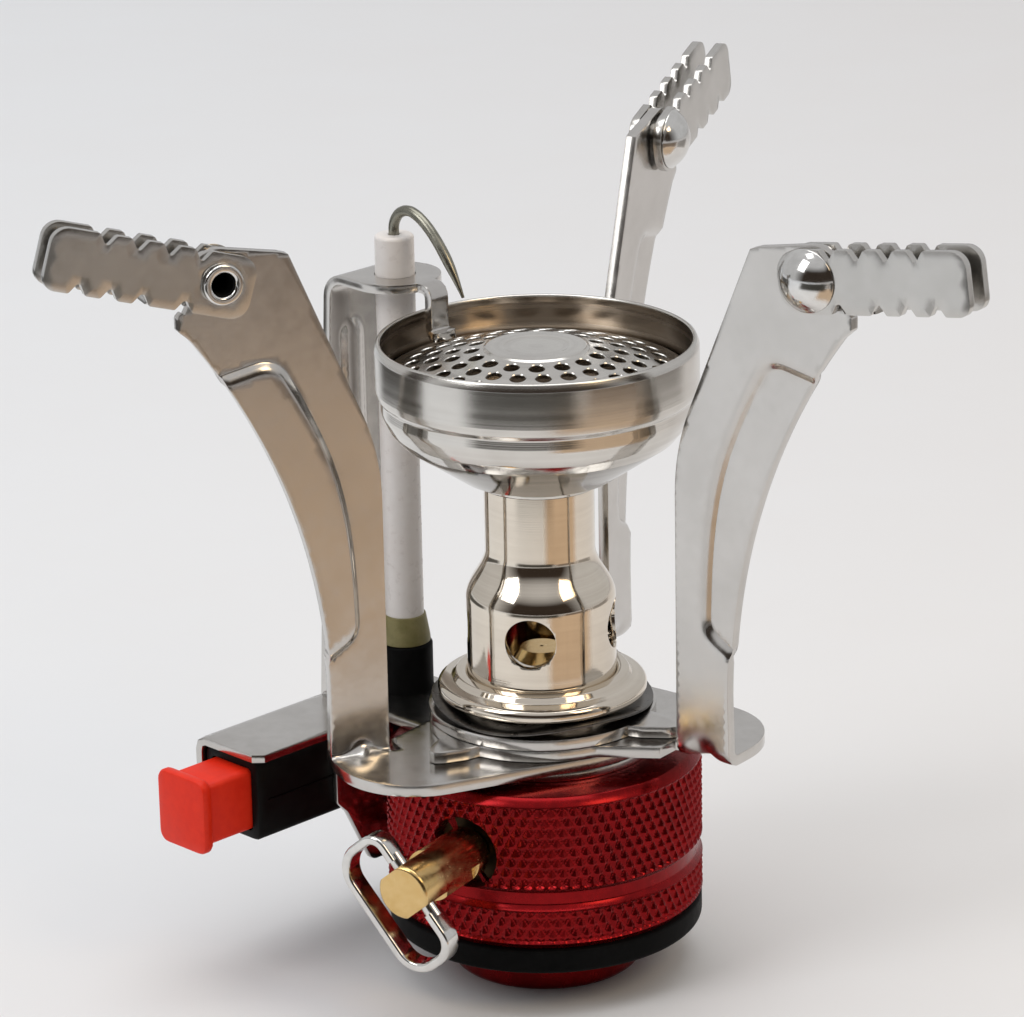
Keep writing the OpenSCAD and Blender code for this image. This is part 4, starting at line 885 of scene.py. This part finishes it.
def rivet_shape():
    """Domed head on the -Y side and a rolled hollow end on the +Y side, about the arm pivot."""
    ball = (DOME_R ** 2 + DOME_H ** 2) / (2 * DOME_H)
    reach = degrees(asin(DOME_R / ball))
    top = ball - DOME_H - RIVET_FACE
    spokes = [polar(ball, reach * k / DOME_STEPS) for k in range(DOME_STEPS)]
    dome = [(r, top - z) for z, r in spokes]
    seat, roll_end, bore_end = 0.02 - RIVET_FACE, RIVET_FACE + ROLL_H, -RIVET_FACE - ROLL_DEPTH
    profile = fillet(dome + [
        (DOME_R, -RIVET_FACE - 0.12, 0.2), (DOME_R, seat, 0.05), (RIVET_R, seat), (RIVET_R, RIVET_FACE),
        (ROLL_R, RIVET_FACE, 0.2), (ROLL_R, roll_end, 0.4), (ROLL_BORE, roll_end, 0.4),
        (ROLL_BORE, bore_end), (0, bore_end)])
    return moved(lathe(profile, 72), spin(-90, "X"))


def in_rivet_bore(at):
    """Tells the inside of the rivet's hollow end, which gets painted shade."""
    deep = -RIVET_FACE - ROLL_DEPTH - 0.1 < at.y < RIVET_FACE + 0.1
    return deep and hypot(at.x, at.z) < ROLL_BORE + 0.02


# Name, bearing and height of each leg, and how far its arm points up
LEGS = (("left", 203, 26.6, 16), ("right", 323, 27.88, 8), ("back", 67, 29.16, 14))
leg, arm, rivet = leg_shape(), arm_shape(), rivet_shape()
for side, azimuth, level, tilt in LEGS:
    at_leg = spin(azimuth) @ shift(0, 0, level)
    at_pivot = at_leg @ shift(PIVOT_X, 0, PIVOT_Z)
    piece("pressed_leg_" + side, moved(leg, at_leg), SHEET, "leg_" + side, "leg_" + side)
    piece("notched_arm_" + side, moved(arm, at_pivot @ spin(-tilt, "Y")), ARM_SHEET,
          "arm_" + side, "arm_" + side)
    shown = piece("arm_rivet_" + side, moved(rivet, at_pivot), PLATED,
                  "rivet_" + side, "leg_" + side)
    # The rivet's hollow end is coloured near black: painted shade in the bore
    coat(shown, SEAL_AND_BORE_SHADE, lambda at, normal: in_rivet_bore(at_pivot.inverted() @ at))


# Igniter, drawn with E along the case and N outwards

AT_IGNITER = spin(45)
BRACKET_T, BRACKET_EDGE, UPRIGHT_N, SHELF_Z, TOP_Z = 1.0, 0.18, 27.5, 26.02, 74.5
TOP_BEND, TAB_BEND, TOE_BEND, WALL_BEND = 2.2, 1.0, 0.7, 1.1
SHELF_START, SHELF_END, SHELF_N, UPRIGHT_START, UPRIGHT_TOP, WALL_LOW = -26.5, 4.0, 17.6, -8.0, -5.0, 16.1
POST_E, POST_N, POST_R, BOOT_HOLE_R = -0.2, 21.6, 2.2, 3.16
TOP_PLATE_R, TAB_HALF, TAB_N, TAB_LOW, TAB_TOE, TOE_HALF = 5.1, 1.3, 15.1, 69.4, 13.6, 1.8
RIB_E, RIB_Z, RIB_LENGTH, RIB_W, RIB_PRESS, RIB_SLOPE = -2.0, 50.3, 37.0, 2.6, 0.5, 0.9
SHELF_BACK, SHELF_OUT = 20.0, (25.8, 27.2)
SKIRT_N, SKIRT_LOW, SKIRT_T, SKIRT_BEND = 17.95, 9.2, 0.8, 0.8


def upright_shape():
    """Upright, top plate around the insulator and the tab over the rim, as one bent sheet."""
    path = [(UPRIGHT_N, WALL_LOW), (UPRIGHT_N, TOP_Z), (TAB_N, TOP_Z), (TAB_N, TAB_LOW), (TAB_TOE, TAB_LOW)]
    fold, (top_start, tab_start, toe_start) = bent(path, [TOP_BEND, TAB_BEND, TOE_BEND])
    post = (POST_E, top_start + UPRIGHT_N - TOP_BEND - POST_N)
    end = toe_start + TAB_N - TOE_BEND - TAB_TOE
    tab_turn = degrees(acos(TAB_HALF / TOP_PLATE_R))
    upright = [(UPRIGHT_START, 0.6), (UPRIGHT_START + 0.6, 0), (SHELF_END - 0.6, 0), (SHELF_END, 0.6),
               (SHELF_END, top_start - 1.0)]
    tab_side = [(TAB_HALF, tab_start - 1.2), (TAB_HALF, toe_start - 0.8, 0.4), (TOE_HALF, end, 0.5)]
    tab = [(POST_E + x, *rest) for x, *rest in tab_side]
    tab += [(POST_E - x, *rest) for x, *rest in reversed(tab_side)]
    outline = upright + arc(post, TOP_PLATE_R, 0, tab_turn) + fillet(tab)
    outline += arc(post, TOP_PLATE_R, 180 - tab_turn, 180) + [(UPRIGHT_TOP, top_start - 1.0)]

    def bend(e, s):
        n, z = fold(s)
        along, across = abs(z - RIB_Z) - RIB_LENGTH / 2 + RIB_W / 2, abs(e - RIB_E)
        off = hypot(max(0.0, along), across)
        press = smooth_step((RIB_W / 2 - off) / RIB_SLOPE + 0.4) if n > UPRIGHT_N - 0.1 else 0.0
        return e, n - RIB_PRESS * press, z
    return sheet_piece(outline, bend, BRACKET_T, BRACKET_EDGE, step=0.5, holes=[circle(post, POST_R + 0.1)])


def shelf_shape():
    """Ring under the legs, neck, shelf over the case and the wall down its outer side."""
    path = [(-SHELF_BACK, SHELF_Z), (UPRIGHT_N, SHELF_Z), (UPRIGHT_N, WALL_LOW)]
    fold, (wall_start,) = bent(path, [WALL_BEND])
    wall_end = wall_start + SHELF_Z - WALL_BEND - WALL_LOW
    split = UPRIGHT_START - 0.2

    def laid(points):
        return [(e, SHELF_BACK + n) for e, n in points]

    def on_ring(e):
        return degrees(atan2(sqrt(LEG_RING_R ** 2 - e ** 2), e))
    outline = laid([(SHELF_END, SHELF_OUT[1]), (split + 0.15, SHELF_OUT[1]), (split, SHELF_OUT[0])])
    outline += [(split, wall_end), (SHELF_START + 0.8, wall_end), (SHELF_START, wall_end - 0.8)]
    outline += laid([(SHELF_START, SHELF_N + 1.0), (SHELF_START + 1.0, SHELF_N), (UPRIGHT_START, SHELF_N),
                     *arc((0, 0), LEG_RING_R, on_ring(UPRIGHT_START), on_ring(SHELF_END) + 360)])

    def bend(e, s):
        if e > split + 0.07:
            return e, s - SHELF_BACK, SHELF_Z
        return (e, *fold(s))
    bores = [laid(circle((0, 0), LEG_BORE_R, 6.0)), laid(circle((POST_E, POST_N), BOOT_HOLE_R))]
    return sheet_piece(outline, bend, BRACKET_T, BRACKET_EDGE, step=0.9, holes=bores)


def skirt_shape():
    """Side wall of the shelf, between the case and the body."""
    fold, (drop,) = bent([(21, SHELF_Z), (SKIRT_N, SHELF_Z), (SKIRT_N, SKIRT_LOW)], [SKIRT_BEND])
    low, middle, high = [drop + SHELF_Z - SKIRT_BEND - z for z in (SKIRT_LOW, 16.1, 17.6)]
    outline = fillet([(-15, 0.2), (-6, 0.2), (-6, low, 1.0), (-10, low, 1.2), (-13.5, middle, 1.0),
                      (-15, high, 0.8)])
    return sheet_piece(outline, lambda e, s: (e, *fold(s)), SKIRT_T, 0.15, step=0.9)


bracket = merged([upright_shape(), shelf_shape(), skirt_shape()])
piece("sheet_bracket", moved(bracket, AT_IGNITER), SHEET, "igniter_bracket")

CASE_LOW, CASE_HIGH, CASE_WALL, CASE_ROUND = (-26.0, 18.4, 16.1), (3.6, 26.9, 25.48), 1.0, 0.9
CASE_N, CASE_Z = 22.65, 20.8
CASE_HALF = ((CASE_HIGH[1] - CASE_LOW[1]) / 2, (CASE_HIGH[2] - CASE_LOW[2]) / 2)
BUTTON_FACE, FACE_T, BUTTON_END, BUTTON_HALF, LIP = -33.5, 1.35, -17.0, (3.13, 3.58), 0.7
END_SOFT = 0.35


def rounded_prism(e0, e1, half, radius, grow=0.0):
    """Box along the case with rounded long edges and softened ends. grow widens it all round."""
    def ring(e, inset):
        section = rounded_box(half[0] + grow - inset, half[1] + grow - inset, radius, 20.0)
        return [(e, CASE_N + a, CASE_Z + b) for a, b in section]
    soft_end = [(0, END_SOFT), (0.1, END_SOFT / 3), (END_SOFT, 0)]
    return skin([ring(e0 + e, inset) for e, inset in soft_end]
                + [ring(e1 - e, inset) for e, inset in reversed(soft_end)])


shell = rounded_prism(CASE_LOW[0], CASE_HIGH[0], CASE_HALF, CASE_ROUND)
case = piece("igniter_shell", moved(shell, AT_IGNITER), BLACK_PLASTIC, "igniter_case")
mouth = rounded_prism(CASE_LOW[0] - 2, CASE_HIGH[0] - CASE_WALL, CASE_HALF, 0.6, -CASE_WALL)
seam = [block((CASE_LOW[0] + 1.5, n - 0.15, CASE_Z - 0.12), (CASE_HIGH[0] - 1, n + 0.15, CASE_Z + 0.12))
        for n in (CASE_LOW[1], CASE_HIGH[1])]
cut(case, [moved(tool, AT_IGNITER) for tool in (mouth, *seam)])

button = merged([rounded_prism(BUTTON_FACE + 0.3, BUTTON_END, BUTTON_HALF, 0.7),
                 rounded_prism(BUTTON_FACE, BUTTON_FACE + FACE_T, BUTTON_HALF, 1.2, LIP)])
piece("push_button", moved(button, AT_IGNITER), RED_PLASTIC, "igniter_button", "igniter_button")

AT_POST = AT_IGNITER @ shift(POST_E, POST_N, 0)
BOOT_R, BOOT_LOW, BOOT_TOP, POST_LOW = 3.1, 25.52, 32.0, 29.0
SLEEVE_R, SLEEVE_LOW, SLEEVE_TOP = 2.9, 32.02, 35.3
POST_TOP, POST_BORE_R, POST_BORE_LOW = 79.5, 0.62, 61.5

boot = fillet([
    (0, BOOT_LOW), (BOOT_R, BOOT_LOW), (BOOT_R, BOOT_TOP - 0.8, 0.2), (BOOT_R, BOOT_TOP, 0.5),
    (POST_R, BOOT_TOP, 0.1), (POST_R, POST_LOW), (0, POST_LOW)])
piece("rubber_boot", moved(lathe(boot, 64), AT_POST), BLACK_RUBBER, "insulator_boot")
sleeve = fillet([
    (POST_R, SLEEVE_LOW), (SLEEVE_R, SLEEVE_LOW, 0.15), (2.85, 32.7, 0.4), (2.4, SLEEVE_TOP, 0.15),
    (POST_R, SLEEVE_TOP)])
piece("olive_collar", moved(lathe(sleeve, 64), AT_POST), OLIVE, "insulator_sleeve")
tube = fillet([
    (0, POST_LOW), (POST_R, POST_LOW), (POST_R, POST_TOP, 0.45), (POST_BORE_R, POST_TOP, 0.15),
    (POST_BORE_R, POST_BORE_LOW), (0, POST_BORE_LOW)])
piece("ceramic_post", moved(lathe(tube, 72), AT_POST), CERAMIC, "ceramic_insulator")

WIRE_R, WIRE_BEND_R, WIRE_BEND_Z, WIRE_TURN = 0.6, 2.5, 80, 105
WIRE_TIP, WIRE_STEPS, WIRE_POINT = (0, -10.7, 74.2), 20, 0.2


def electrode():
    """Wire up through the insulator, round a tight bend, then down a slack curve to a drawn-out point."""
    wire = [(0, 0, z) for z in (POST_BORE_LOW + 0.1, 70, 78, POST_TOP)]
    wire += [(0, n, z) for n, z in arc((-WIRE_BEND_R, WIRE_BEND_Z), WIRE_BEND_R, 0, WIRE_TURN)]
    out = Vector((0, *polar(1.0, WIRE_TURN + 90)))
    start, tip = Vector(wire[-1]), Vector(WIRE_TIP)
    slack = interpolate_bezier(start, start + 3.0 * out, tip + Vector((0, 1.8, 3.3)), tip, WIRE_STEPS)[1:]
    shares = [k / WIRE_STEPS for k in range(2, WIRE_STEPS + 1)]
    taper = [1.0] * len(wire) + [1.0 - (1.0 - WIRE_POINT) * smooth_step((t - 0.6) / 0.5) for t in shares]
    return sweep(wire + slack, [polar(WIRE_R, a) for a in range(0, 360, 24)], taper=taper)


piece("spark_wire", moved(electrode(), AT_POST), WIRE, "electrode_wire")

# Solids that stay as they are in the frame. The gland nut's near-black brass is painted shade in the spindle
# port.
INNER = {"canister_seal": SEAL_AND_BORE_SHADE, "spindle_seal": SEAL_AND_BORE_SHADE, "valve_pin": BRASS, "gas_jet": BRASS,
         "gland_nut": GLAND_SHADE_BRASS, "button_spring": SPRING, "igniter_hammer": SPRING, "piezo_element": CERAMIC}
for node, material in INNER.items():
    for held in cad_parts[node].material_slots:
        held.material = material


# Floor, light and camera, with the lamps and the camera in metres

FLOOR_HALF = 2000.0
# The warm floor tone is darker than the cool one: painted shade on the floor towards +X
FLOOR_COOL, FLOOR_WARM_SHADE, FLOOR_DRIFT = (0.80, 0.82, 0.845), (0.745, 0.725, 0.715), 1.2
ROOM_LOW, ROOM_HIGH, ROOM_DARK = (0.83, 0.83, 0.835), (0.90, 0.90, 0.91), (0.06, 0.045, 0.035, 1)
ROOM_STRENGTH = 0.68
AIM = (0, 0, 0.05)
CAMERA_AT = (0.0, -0.4591, 0.2078)
CAMERA_AXES = ((0.9998, 0.0178, 0.0061), (0.0001, 0.3204, -0.9473), (-0.0188, 0.9471, 0.3204))


def floor_material():
    """Pale floor that drifts from cool to a darker warm tone along X: painted shade on the floor towards +X.
    """
    material, tree, shader = new_material("pale_floor")
    grain = ranged(tree, noise(tree, 30, 5.0), 0.47, 0.53)
    drift = reckon(tree, "MULTIPLY_ADD", axes(tree, place(tree))[0], FLOOR_DRIFT, grain)
    colour = tinted(tree, drift, FLOOR_COOL, FLOOR_WARM_SHADE, 0.25, 0.75)
    tree.links.new(colour, shader.inputs["Base Color"])
    shader.inputs["Roughness"].default_value = 0.6
    return material


def lamp(name, at, size, power, colour=(1, 1, 1)):
    """Soft lamp that faces the stove."""
    data = bpy.data.lights.new(name, "AREA")
    data.shape = "RECTANGLE"
    data.size, data.size_y = size
    data.energy = power
    data.color = colour
    obj = linked(name, data)
    obj.location = at
    obj.rotation_euler = (Vector(AIM) - Vector(at)).to_track_quat("-Z", "Y").to_euler()


def room():
    """Pale room, darker towards the camera's side, so that bright metal has something to show."""
    world = bpy.data.worlds.new("room")
    world.use_nodes = True
    tree = world.node_tree
    _, ahead, up = axes(tree, place(tree, "Generated"))
    above = tinted(tree, up, ROOM_LOW, ROOM_HIGH, 0.1, 0.8)
    front = ranged(tree, ahead, 1.0, 0.0, -0.7, -0.25)
    low = ranged(tree, up, 1.0, 0.0, 0.45, 0.7)
    dark = reckon(tree, "MULTIPLY", front, low)
    colour = add(tree, "MixRGB", Fac=dark, Color1=above, Color2=ROOM_DARK)
    background = tree.nodes["Background"]
    tree.links.new(colour.outputs[0], background.inputs["Color"])
    background.inputs["Strength"].default_value = ROOM_STRENGTH
    return world


def card(name, lift, bearings, radii, tone, soft=(12.0, 30.0)):
    """Part of a ring laid on the floor round the stove, with soft edges, which only shiny surfaces show."""
    outline = arc((0, 0), radii[0], *bearings) + arc((0, 0), radii[1], *reversed(bearings))
    mesh = mesh_of(name, ([(x, y, lift) for x, y in outline], [list(range(len(outline)))]))
    material = surface(name, [0.9 * c for c in tone], tone, (0.6, 0.8), scale=40)
    tree = material.node_tree
    x, y, _ = axes(tree, place(tree))
    middle = radians(sum(bearings) / 2)
    turn = reckon(tree, "WRAP", reckon(tree, "ARCTAN2", y, x), middle + pi, middle - pi)
    cover = 1.0
    for value, ends, edge in ((turn, [radians(b) for b in bearings], radians(soft[0])),
                              (length(tree, place(tree)), [d * MM for d in radii], soft[1] * MM)):
        for start, end in ((ends[0], ends[0] + edge), (ends[1], ends[1] - edge)):
            cover = reckon(tree, "MULTIPLY", cover, ranged(tree, value, 0.0, 1.0, start, end))
    tree.links.new(cover, tree.nodes["Principled BSDF"].inputs["Alpha"])
    mesh.materials.append(material)
    obj = linked(name, mesh)
    obj.visible_camera = obj.visible_diffuse = obj.visible_shadow = obj.visible_transmission = False


bpy.context.scene.world = room()
corners = [(*corner, 0) for corner in rounded_box(FLOOR_HALF, FLOOR_HALF, 0)]
floor = linked("floor", mesh_of("floor", (corners, [(0, 1, 2, 3)])))
floor.data.materials.append(floor_material())

card("dark_card", 0.9, (216, 304), (150, 700), (0.03, 0.028, 0.022), (12, 55))
card("tan_card", 0.3, (276, 352), (70, 250), (0.60, 0.45, 0.315))
card("brown_card", 0.5, (296, 352), (222, 600), (0.16, 0.115, 0.08))
card("left_card", 0.7, (125, 183), (190, 600), (0.04, 0.037, 0.033))
card("grey_card", 0.7, (345, 395), (200, 600), (0.28, 0.265, 0.25))
lamp("key", (-0.8, -0.5, 0.9), (0.5, 0.7), 4.1)
lamp("top", (0.0, 0.10, 1.4), (1.2, 0.9), 7.3)
lamp("glow", (0.35, -0.30, 0.45), (0.2, 0.2), 0.5, (1.0, 0.75, 0.45))

camera_data = bpy.data.cameras.new("camera")
camera_data.lens, camera_data.sensor_width, camera_data.sensor_fit = 157.1, 36.0, "HORIZONTAL"
camera_data.clip_start = 0.01
camera = linked("camera", camera_data)
camera.matrix_world = Matrix.Translation(CAMERA_AT) @ Matrix(CAMERA_AXES).to_4x4()
bpy.context.scene.camera = camera
bpy.context.scene.view_settings.view_transform = "Standard"
